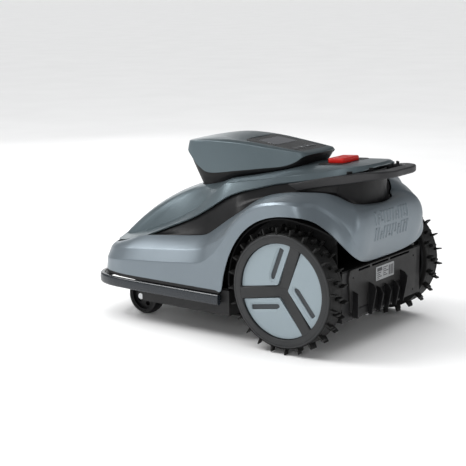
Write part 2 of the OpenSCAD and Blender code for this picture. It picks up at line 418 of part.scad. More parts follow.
// ---------- casters ----------
cxy = [caster_x, -caster_y, 0];
module caster_bush() translate(cxy) difference() { union() { translate([0, 0, 92.2]) cylinder(r = 9.5, h = 37.6); translate([0, 0, 128.2]) cylinder(r = 12.5, h = 1.8); } translate([0, 0, 90]) cylinder(r = 7.05, h = 42); }
module caster_bushes() color([0.7, 0.6, 0.35]) body() both() caster_bush();
module caster_fork() translate(cxy) difference() {
    union() {
        cylinder_at(7, 85, 130.5);
        translate([0, 0, 130.4]) cylinder(r1 = 8.3, r2 = 6.2, h = 3.6);
        translate([-19.5, -10, 85]) cube([39, 42, 4]);
        for (s = [-1, 1]) translate([s * 17.8 - 1.7, caster_trail - 9, caster_r]) cube([3.4, 18, 46]);
        for (s = [-1, 1]) translate([s * 17.8 - 1.7, caster_trail, caster_r]) rotate([0, 90, 0]) cylinder(r = 9, h = 3.4);
    }
    translate([-30, caster_trail, caster_r]) rotate([0, 90, 0]) cylinder(r = 4.02, h = 60);
    translate([-1.2, -12, 112]) cube([2.4, 24, 24]);
}
module cylinder_at(r, z0, z1) translate([0, 0, z0]) cylinder(r = r, h = z1 - z0);
module caster_fork_left() color([0.14, 0.14, 0.15]) body() caster_fork();
module caster_fork_right() color([0.14, 0.14, 0.15]) body() mirror([1, 0, 0]) caster_fork();
module caster_axle() translate(cxy + [0, caster_trail, caster_r]) { xcyl(4, -20.4, 20.4); xcyl(6.5, -22, -19.7); xcyl(6.5, 19.7, 22); }
module caster_axle_left() color(c_steel) body() caster_axle();
module caster_axle_right() color(c_steel) body() mirror([1, 0, 0]) caster_axle();
module caster_wheel() translate(cxy + [0, caster_trail, caster_r]) difference() {
    union() {
        rotate([0, 90, 0]) rotate_extrude($fn = 64) polygon([[4.06, -15.6], [9, -15.6], [9, -6], [30, -6], [30, -13], [33, -13], [33.4, -14.2], [37.5, -14.8], [39.6, -11], [caster_r, -4], [caster_r, 4], [39.6, 11], [37.5, 14.8], [33.4, 14.2], [33, 13], [30, 13], [30, 6], [9, 6], [9, 15.6], [4.06, 15.6]]);
    }
    for (a = [0 : 72 : 359]) rotate([a, 0, 0]) translate([0, 19.5, 0]) xcyl(5.5, -8, 8, 24);
}
module caster_wheel_left() color([0.2, 0.2, 0.2]) body() caster_wheel();
module caster_wheel_right() color([0.2, 0.2, 0.2]) body() mirror([1, 0, 0]) caster_wheel();
// ---------- cutting system ----------
module deck() body() translate([0, -deck_y, cut_low]) children();
screw_y = -70;
module deck_carriage() color([0.25, 0.25, 0.26]) deck() difference() {
    union() {
        cylinder_at(48, 12, 120);
        translate([-12, screw_y, 112]) cube([24, 28, 8]);
        translate([0, screw_y, 112]) cylinder(r = 12, h = 8);
    }
    translate([0, 0, 15]) cylinder(r = 44.5, h = 120, $fn = 64);
    translate([0, 0, 10]) cylinder(r = 9, h = 10);
    translate([0, screw_y, 110]) cylinder(r = 5.06, h = 12);
}
module blade_motor() color([0.35, 0.35, 0.37]) deck() difference() {
    union() { cylinder_at(34, 15.2, 60); cylinder_at(8.6, 12, 15.4); cylinder_at(20, 60, 66); }
    translate([0, 0, 10]) cylinder(r = 4.05, h = 46);
}
module motor_shaft() color(c_steel) deck() cylinder_at(4, 4.3, 54);
module height_motor() color([0.3, 0.3, 0.33]) body() translate([0, -deck_y + screw_y, 0]) difference() { union() { cylinder_at(15, 105.5, 126); translate([0, 0, 105.5]) linear_extrude(3) rrect(44, 30, 4); } cylinder_at(3.05, 112, 127); }
module height_screw() color(c_steel) body() translate([0, -deck_y + screw_y, 0]) { cylinder_at(5, 127.4, 184); cylinder_at(3, 113, 127.6); }
module blade_disc() color([0.2, 0.2, 0.21]) deck() difference() {
    union() {
        cylinder_at(disc_r, 1.6, 4.1);
        cylinder_at(15, 4, 11.4);
        cylinder_at(10, -8.2, 1.7);
        for (a = [0 : 60 : 359]) rotate([0, 0, a]) translate([14, -1.2, 4]) cube([66, 2.4, 2.5]);
    }
    translate([0, 0, 4.2]) cylinder(r = 4.02, h = 9);
    for (a = [30, 150, 270]) rotate([0, 0, a]) translate([blade_pivot_r, 0, 0]) cylinder(r = 2.55, h = 9, center = true);
    for (a = [0 : 60 : 359]) rotate([0, 0, a + 30]) translate([52, 0, 0]) cylinder(r = 12, h = 6);
    translate([0, 0, -9]) cylinder(r = 2.1, h = 9);
}
module blade(a) deck() rotate([0, 0, a]) translate([blade_pivot_r, 0, 0]) difference() {
    linear_extrude(1) polygon([[-7, -6], [-4, -9], [27, -9], [30, -7], [30, 7], [27, 9], [-4, 9], [-7, 6]]);
    translate([0, 0, -1]) cylinder(r = 2.6, h = 3);
    translate([16, 0, -1]) cylinder(r = 3, h = 3);
}
module blade_1() color(c_steel) blade(30);
module blade_2() color(c_steel) blade(150);
module blade_3() color(c_steel) blade(270);
module blade_bolts() color([0.5, 0.5, 0.5]) deck() for (a = [30, 150, 270]) rotate([0, 0, a]) translate([blade_pivot_r, 0, 0]) {
    cylinder_at(2.5, -0.5, 5.4);
    translate([0, 0, -0.4]) mirror([0, 0, 1]) screw_head(5);
}
module skid_plate() color([0.1, 0.1, 0.1]) deck() difference() {
    union() {
        rotate_extrude($fn = 72) polygon([[10.08, -7.9], [60, -7.9], [76, -5.2], [77, -3.4], [75, -3.2], [59, -6], [17, -6], [16, -2.8], [10.08, -2.8]]);
    }
    for (a = [0 : 60 : 359]) rotate([0, 0, a]) translate([40, 0, -9]) cylinder(r = 8, h = 6);
}
module skid_screw() color(c_steel) deck() difference() { union() { cylinder_at(12.6, -10.6, -8.4); cylinder_at(2.05, -8.5, -1); } translate([0, 0, -11]) cylinder(r = 2.6, h = 1.8, $fn = 6); }

// ---------- power and electronics ----------
module battery_pack() color([0.1, 0.2, 0.35]) body() { translate([0, 19, 69]) linear_extrude(70) rrect(106, 136, 5); bq(-20, 20, 87, 93, 110, 130); }
module battery_hatch() color([0.13, 0.13, 0.135]) body() difference() {
    translate([0, 19, 61]) linear_extrude(2.8) rrect(132, 162, 6);
    both() for (y = [-57.5, 95.5]) translate([50, y, 60]) cylinder(r = 2.3, h = 6);
    for (k = [-3 : 3]) bq(-40, 40, 16 + k * 12, 22 + k * 12, 60, 62.2);
}
module chassis_screws() color(c_steel) body() both() {
    for (y = [-57.5, 95.5]) translate([50, y, 60.9]) mirror([0, 0, 1]) screw_head(3.6);
    for (y = [-130, 90]) translate([142, y, 164.9]) screw_head(3.6);
    for (y = [-350, -160]) translate([172, y, 52.7]) mirror([0, 0, 1]) screw_head(3.6);
}
module main_board() color([0.05, 0.28, 0.12]) body() difference() {
    union() {
        bq(-92, 92, -486, -394, 110.2, 111.8);
        bq(-30, -6, -450, -426, 111.8, 114);
        bq(14, 60, -456, -436, 111.8, 121);
        bq(-80, -50, -470, -420, 111.8, 119);
        bq(-20, 70, -410, -398, 111.8, 120);
        for (x = [66, 80]) translate([x, -470, 111.8]) cylinder(r = 6, h = 16);
    }
    for (x = [-84, 84], y = [-478, -402]) translate([x, y, 109]) cylinder(r = 1.7, h = 5);
}
module charging_contacts() color([0.85, 0.65, 0.25]) body() both() translate([28, -502.2, 97.2]) rotate([-90, 0, 0]) linear_extrude(2) rrect(26, 7, 2);
lower_shell();
mid_shell();
top_cover();
pod_shell();
pod_base();
display_panel();
screen_window();
key_power();
key_home();
key_mow();
key_ok();
key_membrane();
camera_bezel();
camera_lenses();
stop_bezel();
stop_button();
stop_spring();
rear_handle();
handle_clips();
front_bumper();
bumper_springs();
chassis_tub();
chassis_lid();
wheel_liners();
rear_panel();
rating_plate();
rear_guard();
wheel_motors();
drive_shaft_left();
drive_shaft_right();
hub_left();
hub_right();
inserts_left();
inserts_right();
tyre_left();
tyre_right();
caster_bushes();
caster_fork_left();
caster_fork_right();
caster_axle_left();
caster_axle_right();
caster_wheel_left();
caster_wheel_right();
deck_carriage();
blade_motor();
motor_shaft();
height_motor();
height_screw();
blade_disc();
blade_1();
blade_2();
blade_3();
blade_bolts();
skid_plate();
skid_screw();
battery_pack();
battery_hatch();
chassis_screws();
main_board();
charging_contacts();
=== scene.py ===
# Looks for the robotic lawn mower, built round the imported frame.
import json
import math
import bpy
import bmesh
import numpy as np
from mathutils import Vector, Matrix
from mathutils.bvhtree import BVHTree


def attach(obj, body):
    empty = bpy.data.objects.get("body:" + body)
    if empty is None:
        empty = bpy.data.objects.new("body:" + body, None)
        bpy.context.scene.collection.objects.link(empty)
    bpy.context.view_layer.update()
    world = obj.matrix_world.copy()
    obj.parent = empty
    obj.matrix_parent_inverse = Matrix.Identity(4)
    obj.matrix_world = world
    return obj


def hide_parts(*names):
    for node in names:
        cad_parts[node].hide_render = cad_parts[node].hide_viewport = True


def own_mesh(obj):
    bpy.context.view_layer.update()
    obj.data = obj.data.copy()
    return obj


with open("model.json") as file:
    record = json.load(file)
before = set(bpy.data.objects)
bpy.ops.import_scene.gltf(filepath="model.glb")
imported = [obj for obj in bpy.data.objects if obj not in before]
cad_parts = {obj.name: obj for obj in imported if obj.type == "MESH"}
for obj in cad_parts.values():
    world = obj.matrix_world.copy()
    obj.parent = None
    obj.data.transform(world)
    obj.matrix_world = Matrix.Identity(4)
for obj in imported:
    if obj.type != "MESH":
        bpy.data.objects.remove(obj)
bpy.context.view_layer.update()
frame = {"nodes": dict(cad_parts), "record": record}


nodes = frame["nodes"]
YO = 187.0
rng = np.random.default_rng(7)

# ------------------------------------------------------------------ shell lines, millimetres from the rear axle
LA = [[0,-520,103],[80,-517,103],[144,-503,103],[180,-474,103],[195,-436,103],[200,-392,103],[200.5,-330,103],[201,-260,103], [201,-200,103],[201,-168,103],[201.5,-152,103],[202,-143,140],[203,-126,185],[203,-98,226],[203,-62,253],[203,-20,267], [201,28.6,270.5],[188,58.8,265.4],[175,85,246.6],[157,104.9,218.7],[140,115.1,198.9],[120,116.8,186.5],[95,113,177],[58,108,171], [0,105,169]]
LB = [[0,-519,124],[80,-516,124],[143,-501,125],[179,-472,127],[194,-434,131],[199,-392,136],[200,-328,141],[200,-258,147], [200,-206,154],[201,-178,171],[203,-157,190],[204,-140,211],[205,-119,236],[205.5,-92,261],[205.5,-58,281],[204,-15.7,290.8], [195,25.9,292],[168,48.3,285.6],[156,76.6,269.6],[146,102.3,244.7],[137,116.5,219.7],[118,118.2,198.2],[93,115.5,182],[58,109.6,173.5], [0,106.7,171.4]]
LC = [[0,-514,143],[79,-511,143],[140,-495,145],[171,-464,150],[183,-428,155],[186,-390,159],[186,-326,165],[186,-256,172], [187,-210,180],[192,-183,194],[198,-160,204],[200,-141,220],[201,-120,244],[202,-92,269],[202,-58,288],[199,-16.4,296.6], [189,24.6,297.6],[163,47.7,291.5],[152,77.6,276.8],[142,102.7,251.5],[134,116.6,225.4],[116.5,118.9,201.1],[93,116,184],[58,110,174.5], [0,107,172]]
LD = [[0,-506,153],[77,-503,153],[134,-485,156],[159,-452,163],[161,-420,173],[159,-386,183],[156,-322,190],[154,-252,197], [152,-222,203],[151,-195,220],[150,-172,236],[150,-152,249],[150,-130,263],[150,-98,284],[150,-62,299],[150,-20,307], [135,16.4,308.3],[118,43.9,306.4],[99,61,298.3],[89,68.7,291.1],[83,70.3,286],[78,72.5,283.1],[70,80,281],[50,91,279], [0,98,277]]
K1 = [[154,55.4,293.5],[141.7,83.8,283.3],[135,107.7,271.7],[129.3,124.8,258.2],[116.3,130.8,242.1],[94,131,228],[60,129,219],[0,128,215]]
K2 = [[134,51.1,301.5],[117.3,73.9,297.8],[109,95.7,294.9],[107.2,113.1,297.1],[101.2,124.7,296.1],[87,132,296],[56,136,296],[0,136,296]]
CP = [[0,-506,158],[70,-503,158],[127,-486,160],[150,-455,165],[152,-425,171],[149,-392,180],[143,-330,206],[140,-270,231], [137,-232,252],[134,-205,269],[132,-185,281],[131,-165,290],[130,-145,297],[129,-110,306],[124,-72,316],[113,-28,323], [97,20,331],[82,58,339],[70,80,344],[60,92,348],[50,98,351],[38,101.5,352.5],[26,103.5,353],[13,104,353],[0,104,353]]
CR = [[0,-497,172],[66,-494,172],[114,-475,171],[125,-450,174],[124,-423,182],[121,-392,193],[120,-334,216],[118,-275,247], [114,-238,277],[111,-208,301],[110,-186,307],[110,-168,310.5],[110,-148,314],[110,-112,319.5],[108,-72,327],[99,-28,333.5], [83,22,342],[72,58,350],[62,77,354],[53,87,355],[44,92.5,356],[34,96,356.5],[23,98,357],[12,99,357],[0,99,357]]
CQ = [[0,-306,290],[30,-306,289.5],[55,-303,289],[70,-295,288.5],[76,-282,289.5],[78,-268,292],[78,-250,296],[77,-232,301], [76,-215,306],[75,-198,310.5],[74,-182,314.5],[73,-166,318],[72,-148,322],[69,-118,328.5],[64,-84,336],[57,-64,341.5], [48,-56,344],[38,-52,346],[28,-50,347],[20,-49,347.5],[15,-48.5,348],[11,-48.2,348],[7,-48,348],[3.5,-48,348],[0,-48,348]]
CW = [16,16,15,14,13,12,11,10,8,5,4,3.5,3,3,3,3.5,4,3,2,1.5,1.2,1,1,1,1]
MR = [[84,52,334],[73,64,337],[62,73,339],[52,79,340],[42,84,341],[29,87.5,342],[15,89,342],[0,89,342]]
PP = [[0,-338,367],[48,-336,366],[77,-328,362],[87,-312,349],[89,-290,329],[88,-262,318],[85,-200,326],[80,-140,335], [72,-92,342],[66,-66,351],[60,-50,362],[48,-43,366],[24,-41,367],[0,-40,367]]
PS = [[0,-335,380],[46,-333,380],[73,-326,380.5],[82,-311,381],[83.5,-288,382],[82,-262,383],[77,-200,382],[71,-140,377.5], [64,-92,373.5],[60,-68,371.6],[55,-52,370.6],[45,-46.5,370.2],[24,-45,370],[0,-44,370]]
PQ = [[0,-196,389.4],[28,-196,389],[47,-195,388.2],[55.5,-190,387],[57,-183,386.1],[56.8,-172,384.9],[55.8,-150,382.6],[54.5,-124,379.8], [53,-94,376.5],[51.5,-76,374.6],[49,-64,373.4],[41,-58.5,372.9],[22,-57,372.8],[0,-57,372.8]]
PW = [7,6.5,5.5,4.5,4,3.6,2.6,1.6,1,0.6,0.4,0.3,0.2,0.2]
CU = [0,1.6,2.7,3.4,4.3,5.5,8.6,11.6,13.5,14.6,15.6,16.8,19.5,24]
HC = [[0,137,342],[30,137,342],[47,134,342],[59.5,126,341],[69.5,111,339],[78.5,91,335.5],[88.5,66,331],[99.5,37,326.5],[109.5,5,320],[117.6,-24,313.3],[121.4,-41,310.4]]
HW = [[13,7,0],[13,7,0],[12.4,7,0],[11,7.4,0],[8,8.2,0],[6,8.8,0],[5,9,0],[4.8,9,0],[4.8,8.7,0],[4.6,8.6,0],[4.4,8.4,0]]
BP = [[0,-523.2,0],[86,-521,0],[148,-513,0],[182,-494,0],[198,-460,0],[202.5,-415,0],[203.2,-360,0],[203.4,-300,0],[203.4,-240,0],[203,-195,0],[202.4,-158,0]]
BS = [[0.8, 83], [0, 91], [-2.4, 94], [-9, 93], [-9, 74], [-2.4, 72], [0, 75]]

A3 = lambda T: [np.array(p, float) for p in T]
LA, LB, LC, LD, K1, K2, CP, CR, CQ, MR, PP, PS, PQ, HC, HW, BP = map(A3, (LA, LB, LC, LD, K1, K2, CP, CR, CQ, MR, PP, PS, PQ, HC, HW, BP))
MX = np.array([-1.0, 1.0, 1.0])


def cr(a, b, c, d, t):
    return 0.5 * ((2 * b) + (c - a) * t + (2 * a - 5 * b + 4 * c - d) * t * t + (3 * b - a - 3 * c + d) * t ** 3)


def at(T, u):
    n = len(T) - 1
    i = min(int(math.floor(u)), n - 1)
    a = T[i - 1] if i > 0 else T[1] * MX
    d = T[i + 2] if i + 2 <= n else T[n - 1] * MX
    return cr(a, T[i], T[i + 1], d, u - i)


def ato(T, u, mirror_start=False):
    n = len(T) - 1
    i = min(int(math.floor(u)), n - 1)
    a = T[i - 1] if i > 0 else (T[1] * MX if mirror_start else 2 * T[0] - T[1])
    d = T[i + 2] if i + 2 <= n else 2 * T[n] - T[n - 1]
    return cr(a, T[i], T[i + 1], d, u - i)


def bez(a, b, c, d, t):
    return a * (1 - t) ** 3 + b * 3 * t * (1 - t) ** 2 + c * 3 * t * t * (1 - t) + d * t ** 3


def unit(v):
    return v / max(np.linalg.norm(v), 1e-9)


def inw(T, u):
    n = len(T) - 1
    e = 0.05
    a = at(T, e - u) * MX if u - e < 0 else at(T, u - e)
    b = at(T, 2 * n - u - e) * MX if u + e > n else at(T, u + e)
    d = unit(np.array([b[0] - a[0], b[1] - a[1], 0.0]))
    return np.array([-d[1], d[0], 0.0])


def fillet(pts, cut, seg=5):
    """Polyline with the corners named in cut rounded by that much on each side."""
    out = []
    for i, p in enumerate(pts):
        if i in cut:
            a, b = pts[i - 1] - p, pts[(i + 1) % len(pts)] - p
            la, lb = np.linalg.norm(a), np.linalg.norm(b)
            p0, p1 = p + a / max(la, 1e-9) * min(cut[i], la * 0.46), p + b / max(lb, 1e-9) * min(cut[i], lb * 0.46)
            for t in np.linspace(0, 1, seg):
                out.append(p0 * (1 - t) ** 2 + p * 2 * t * (1 - t) + p1 * t * t)
        else:
            out.append(p)
    return out


def fill_rows(pts, step):
    """Adds points on long straight stretches; step is a list of how many parts each stretch is cut into."""
    out = []
    for i in range(len(pts) - 1):
        n = step[i] if i < len(step) else 1
        for k in range(n):
            out.append(pts[i] + (pts[i + 1] - pts[i]) * k / n)
    out.append(pts[-1])
    return out


def ring(L):
    n = len(L) - 1
    return [L[k] if k <= n else [p * MX for p in L[2 * n - k]] for k in range(2 * n)]


def to_m(p):
    return (p[0] * 1e-3, (p[1] + YO) * 1e-3, p[2] * 1e-3)


def new_object(name, verts, faces, smooth=True):
    me = bpy.data.meshes.new(name)
    me.from_pydata(verts, [], faces)
    me.update()
    bm = bmesh.new()
    bm.from_mesh(me)
    bmesh.ops.remove_doubles(bm, verts=bm.verts, dist=1e-7)
    bmesh.ops.dissolve_degenerate(bm, edges=bm.edges, dist=1e-8)
    bm.to_mesh(me)
    bm.free()
    me.polygons.foreach_set("use_smooth", [smooth] * len(me.polygons))
    o = bpy.data.objects.new(name, me)
    bpy.context.scene.collection.objects.link(o)
    return o


def grid_object(name, cols, close_u=True, close_v=False, caps=False):
    n, m = len(cols), len(cols[0])
    verts = [to_m(p) for c in cols for p in c]
    faces = []
    for k in range(n if close_u else n - 1):
        q = (k + 1) % n
        for j in range(m if close_v else m - 1):
            i = (j + 1) % m
            faces.append((k * m + j, q * m + j, q * m + i, k * m + i))
    if caps:
        faces.append(tuple(range(m - 1, -1, -1)))
        faces.append(tuple((n - 1) * m + j for j in range(m)))
    return new_object(name, verts, faces)


def outward(o, reference):
    """Turns the faces so that they point away from the reference point."""
    me = o.data
    bm = bmesh.new()
    bm.from_mesh(me)
    bm.normal_update()
    s = sum(f.normal.dot(f.calc_center_median() - Vector(reference)) * f.calc_area() for f in bm.faces)
    if s < 0:
        bmesh.ops.reverse_faces(bm, faces=bm.faces)
    bm.to_mesh(me)
    bm.free()


def thick(o, t_mm, rim_mm=0.7, seg=3):
    s = o.modifiers.new("wall", "SOLIDIFY")
    s.thickness = t_mm * 1e-3
    s.offset = -1
    s.use_even_offset = False
    if rim_mm:
        b = o.modifiers.new("rim", "BEVEL")
        b.width = rim_mm * 1e-3
        b.segments = seg
        b.limit_method = "ANGLE"
        b.angle_limit = math.radians(55)
        b.harden_normals = False
    w = o.modifiers.new("normals", "WEIGHTED_NORMAL")
    w.keep_sharp = False
    w.weight = 60


def soften(o, w_mm, seg=2, angle=35, weld=False):
    if weld:
        m = o.modifiers.new("weld", "WELD")
        m.merge_threshold = 1e-6
    b = o.modifiers.new("edges", "BEVEL")
    b.width = w_mm * 1e-3
    b.segments = seg
    b.limit_method = "ANGLE"
    b.angle_limit = math.radians(angle)
    b.use_clamp_overlap = True
    w = o.modifiers.new("normals", "WEIGHTED_NORMAL")
    w.keep_sharp = False


# ------------------------------------------------------------------ materials
def links(nt):
    return nt.nodes, nt.links


def base_mat(name, color, rough, metal=0.0, coat=0.0, coat_rough=0.1, spec=0.5):
    m = bpy.data.materials.new(name)
    m.use_nodes = True
    nt = m.node_tree
    b = nt.nodes["Principled BSDF"]
    b.inputs["Base Color"].default_value = (*color, 1)
    b.inputs["Roughness"].default_value = rough
    b.inputs["Metallic"].default_value = metal
    b.inputs["Coat Weight"].default_value = coat
    b.inputs["Coat Roughness"].default_value = coat_rough
    b.inputs["Specular IOR Level"].default_value = spec
    return m, nt, b


def tex_coord(nt, scale=(1, 1, 1)):
    tc = nt.nodes.new("ShaderNodeTexCoord")
    mp = nt.nodes.new("ShaderNodeMapping")
    mp.inputs["Scale"].default_value = scale
    nt.links.new(tc.outputs["Object"], mp.inputs["Vector"])
    return mp.outputs["Vector"]


def noise(nt, vec, scale, detail=2.0, rough=0.5):
    n = nt.nodes.new("ShaderNodeTexNoise")
    n.inputs["Scale"].default_value = scale
    n.inputs["Detail"].default_value = detail
    n.inputs["Roughness"].default_value = rough
    nt.links.new(vec, n.inputs["Vector"])
    return n.outputs["Fac"]


def ramp(nt, fac, stops):
    r = nt.nodes.new("ShaderNodeValToRGB")
    e = r.color_ramp.elements
    while len(e) > 1:
        e.remove(e[-1])
    e[0].position, e[0].color = stops[0][0], (*stops[0][1], 1)
    for p, c in stops[1:]:
        k = e.new(p)
        k.color = (*c, 1)
    nt.links.new(fac, r.inputs["Fac"])
    return r.outputs["Color"]


def remap(nt, fac, lo, hi, flo=0.3, fhi=0.7):
    r = nt.nodes.new("ShaderNodeMapRange")
    r.inputs["From Min"].default_value = flo
    r.inputs["From Max"].default_value = fhi
    r.inputs["To Min"].default_value = lo
    r.inputs["To Max"].default_value = hi
    nt.links.new(fac, r.inputs["Value"])
    return r.outputs["Result"]


def bump(nt, b, height, strength, dist=0.0005, prev=None):
    n = nt.nodes.new("ShaderNodeBump")
    n.inputs["Strength"].default_value = strength
    n.inputs["Distance"].default_value = dist
    nt.links.new(height, n.inputs["Height"])
    if prev is not None:
        nt.links.new(prev, n.inputs["Normal"])
    nt.links.new(n.outputs["Normal"], b.inputs["Normal"])
    return n.outputs["Normal"]


def mul(c, k):
    return tuple(min(1.0, x * k) for x in c)


def paint(name, color, rough=0.36, metal=0.35, flake=0.10):
    m, nt, b = base_mat(name, color, rough, metal, coat=0.08, coat_rough=0.25)
    v = tex_coord(nt)
    f = noise(nt, v, 2600, 1.0)
    c = ramp(nt, f, [(0.30, mul(color, 1 - flake)), (0.5, color), (0.72, mul(color, 1 + flake))])
    nt.links.new(c, b.inputs["Base Color"])
    nt.links.new(remap(nt, noise(nt, v, 9, 4, 0.6), rough - 0.05, rough + 0.06), b.inputs["Roughness"])
    p = bump(nt, b, noise(nt, v, 260, 2), 0.05, 0.0004)
    bump(nt, b, noise(nt, v, 1500, 1), 0.05, 0.0002, p)
    return m


def grain(name, color, rough=0.55, strength=0.35, scale=1100, spec=0.4, var=0.15):
    """Moulded plastic with a spark-eroded grain."""
    m, nt, b = base_mat(name, color, rough, spec=spec)
    v = tex_coord(nt)
    f = noise(nt, v, 14, 4, 0.6)
    nt.links.new(ramp(nt, f, [(0.3, mul(color, 1 - var)), (0.7, mul(color, 1 + var))]), b.inputs["Base Color"])
    nt.links.new(remap(nt, noise(nt, v, 30, 3, 0.6), rough - 0.06, rough + 0.07), b.inputs["Roughness"])
    p = bump(nt, b, noise(nt, v, scale, 2, 0.6), strength, 0.0003)
    bump(nt, b, noise(nt, v, 60, 3), 0.04, 0.0006, p)
    return m


def metal_mat(name, color, rough=0.3, aniso=(1, 1, 30), dull=0.2):
    m, nt, b = base_mat(name, color, rough, 1.0)
    v = tex_coord(nt, aniso)
    f = noise(nt, v, 90, 3, 0.6)
    nt.links.new(ramp(nt, f, [(0.3, mul(color, 1 - dull)), (0.7, color)]), b.inputs["Base Color"])
    nt.links.new(remap(nt, f, rough - 0.08, rough + 0.12), b.inputs["Roughness"])
    bump(nt, b, f, 0.08, 0.0002)
    return m


def gloss(name, color, rough=0.12, coat=0.6, spec=0.5):
    m, nt, b = base_mat(name, color, rough, coat=coat, coat_rough=0.05, spec=spec)
    v = tex_coord(nt)
    nt.links.new(remap(nt, noise(nt, v, 25, 5, 0.65), rough - 0.03, rough + 0.07), b.inputs["Roughness"])
    nt.links.new(ramp(nt, noise(nt, v, 8, 3), [(0.3, mul(color, 0.85)), (0.7, mul(color, 1.15))]), b.inputs["Base Color"])
    bump(nt, b, noise(nt, v, 120, 2), 0.02, 0.0003)
    return m


M = {}
M["body_paint"] = paint("body_paint", (0.178, 0.212, 0.238), 0.38, 0.55)
# cover_paint is the body's grey-blue made darker as painted shade on the top cover and the pod; the real paint is the
# same as body_paint
M["cover_paint"] = paint("cover_paint", (0.112, 0.145, 0.160), 0.36, 0.55)
M["insert_paint"] = paint("insert_paint", (0.250, 0.305, 0.335), rough=0.42, metal=0.1, flake=0.05)
# black_plastic is black plastic with painted shade: its colour is darkened below the plastic's own, standing in for
# shade on the mid shell and the other black parts
M["black_plastic"] = grain("black_plastic", (0.0065, 0.0065, 0.007), 0.42, spec=0.22)
# the handle is the same black plastic; this lighter copy is painted light, so that the handle reads as lit against the
# shaded mid shell
M["handle_plastic_lit"] = grain("handle_plastic_lit", (0.024, 0.024, 0.0255), 0.40, 0.25, spec=0.3)
M["dark_plastic"] = grain("dark_plastic", (0.014, 0.014, 0.0145), 0.52, spec=0.3)
M["hub_plastic"] = grain("hub_plastic", (0.0225, 0.0235, 0.0245), 0.46, 0.25, spec=0.35)
M["liner_plastic"] = grain("liner_plastic", (0.006, 0.006, 0.0062), 0.6, 0.4, spec=0.15)
M["panel_plastic"] = grain("panel_plastic", (0.026, 0.0255, 0.0255), 0.55, 0.4, scale=900, spec=0.25)
M["slot_plastic"] = grain("slot_plastic", (0.045, 0.050, 0.055), 0.5, 0.2, spec=0.3)
M["bumper_gloss"] = gloss("bumper_gloss", (0.013, 0.017, 0.022), 0.24, 0.12, 0.4)
M["panel_gloss"] = gloss("panel_gloss", (0.006, 0.0063, 0.0075), 0.26, 0.05, 0.25)
M["lens_glass"] = gloss("lens_glass", (0.008, 0.012, 0.03), 0.03, 1.0)
M["key_plastic"] = grain("key_plastic", (0.075, 0.078, 0.082), 0.45, 0.2)
M["icon"] = grain("icon", (0.55, 0.57, 0.58), 0.5, 0.1)
M["button_red"] = gloss("button_red", (0.60, 0.014, 0.010), 0.38, 0.05, 0.25)
M["tyre_rubber"] = grain("tyre_rubber", (0.0095, 0.0095, 0.0093), 0.62, 0.5, scale=600, spec=0.25, var=0.25)
M["soft_rubber"] = grain("soft_rubber", (0.02, 0.02, 0.02), 0.8, 0.3)
M["steel"] = metal_mat("steel", (0.55, 0.56, 0.57), 0.3)
M["blade_steel"] = metal_mat("blade_steel", (0.70, 0.71, 0.72), 0.22, (30, 1, 1))
M["motor_metal"] = metal_mat("motor_metal", (0.30, 0.31, 0.33), 0.42, (1, 1, 1))
M["bronze"] = metal_mat("bronze", (0.50, 0.36, 0.18), 0.35, (1, 1, 1))
M["contact_brass"] = metal_mat("contact_brass", (0.80, 0.60, 0.28), 0.2)
M["label_plate"] = grain("label_plate", (0.30, 0.31, 0.315), 0.45, 0.08)
M["label_ink"] = grain("label_ink", (0.06, 0.06, 0.065), 0.5, 0.08)
M["battery_wrap"] = grain("battery_wrap", (0.03, 0.07, 0.15), 0.4, 0.1)
M["board_green"] = grain("board_green", (0.015, 0.10, 0.04), 0.4, 0.1)


def give(o, *mats):
    o.data.materials.clear()
    for x in mats:
        o.data.materials.append(M[x])


def place(o, body, slot, mat, *replaced):
    give(o, mat)
    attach(o, body)
    if replaced:
        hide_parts(*replaced)
    return o


# ------------------------------------------------------------------ lower shell
def ls_k(i, s):
    if i < 17:
        return LC[i] + (LD[i] - LC[i]) * s / 3 + np.array([1.3, 0, 1.5]) * min(1, i / 3)
    return (K1 if s == 1 else K2)[i - 17]


LK1 = [ls_k(i, 1) for i in range(25)]
LK2 = [ls_k(i, 2) for i in range(25)]


def ls_col(u):
    a, b, c, d = at(LA, u), at(LB, u), at(LC, u), at(LD, u)
    k1, k2 = at(LK1, u), at(LK2, u)
    up = [bez(c, k1, k2, d, t) for t in np.linspace(0, 1, 17)]
    # corner list: skirt edge, crease 2, crease 1, then the upper skin
    f = fillet([a, b] + up, {1: 1.5, 2: 1.9}, 5)
    return fill_rows(f, [3])


HN = 168
cols = ring([ls_col(k * 24 / HN) for k in range(HN + 1)])
shell = grid_object("visual_lower_shell", cols)
outward(shell, (0, -0.02, 0.16))
thick(shell, 2.4)
place(shell, "mower_body", "body_paint", "body_paint", "lower_shell")
shell_bvh = BVHTree.FromPolygons([v.co.copy() for v in shell.data.vertices], [tuple(p.vertices) for p in shell.data.polygons])


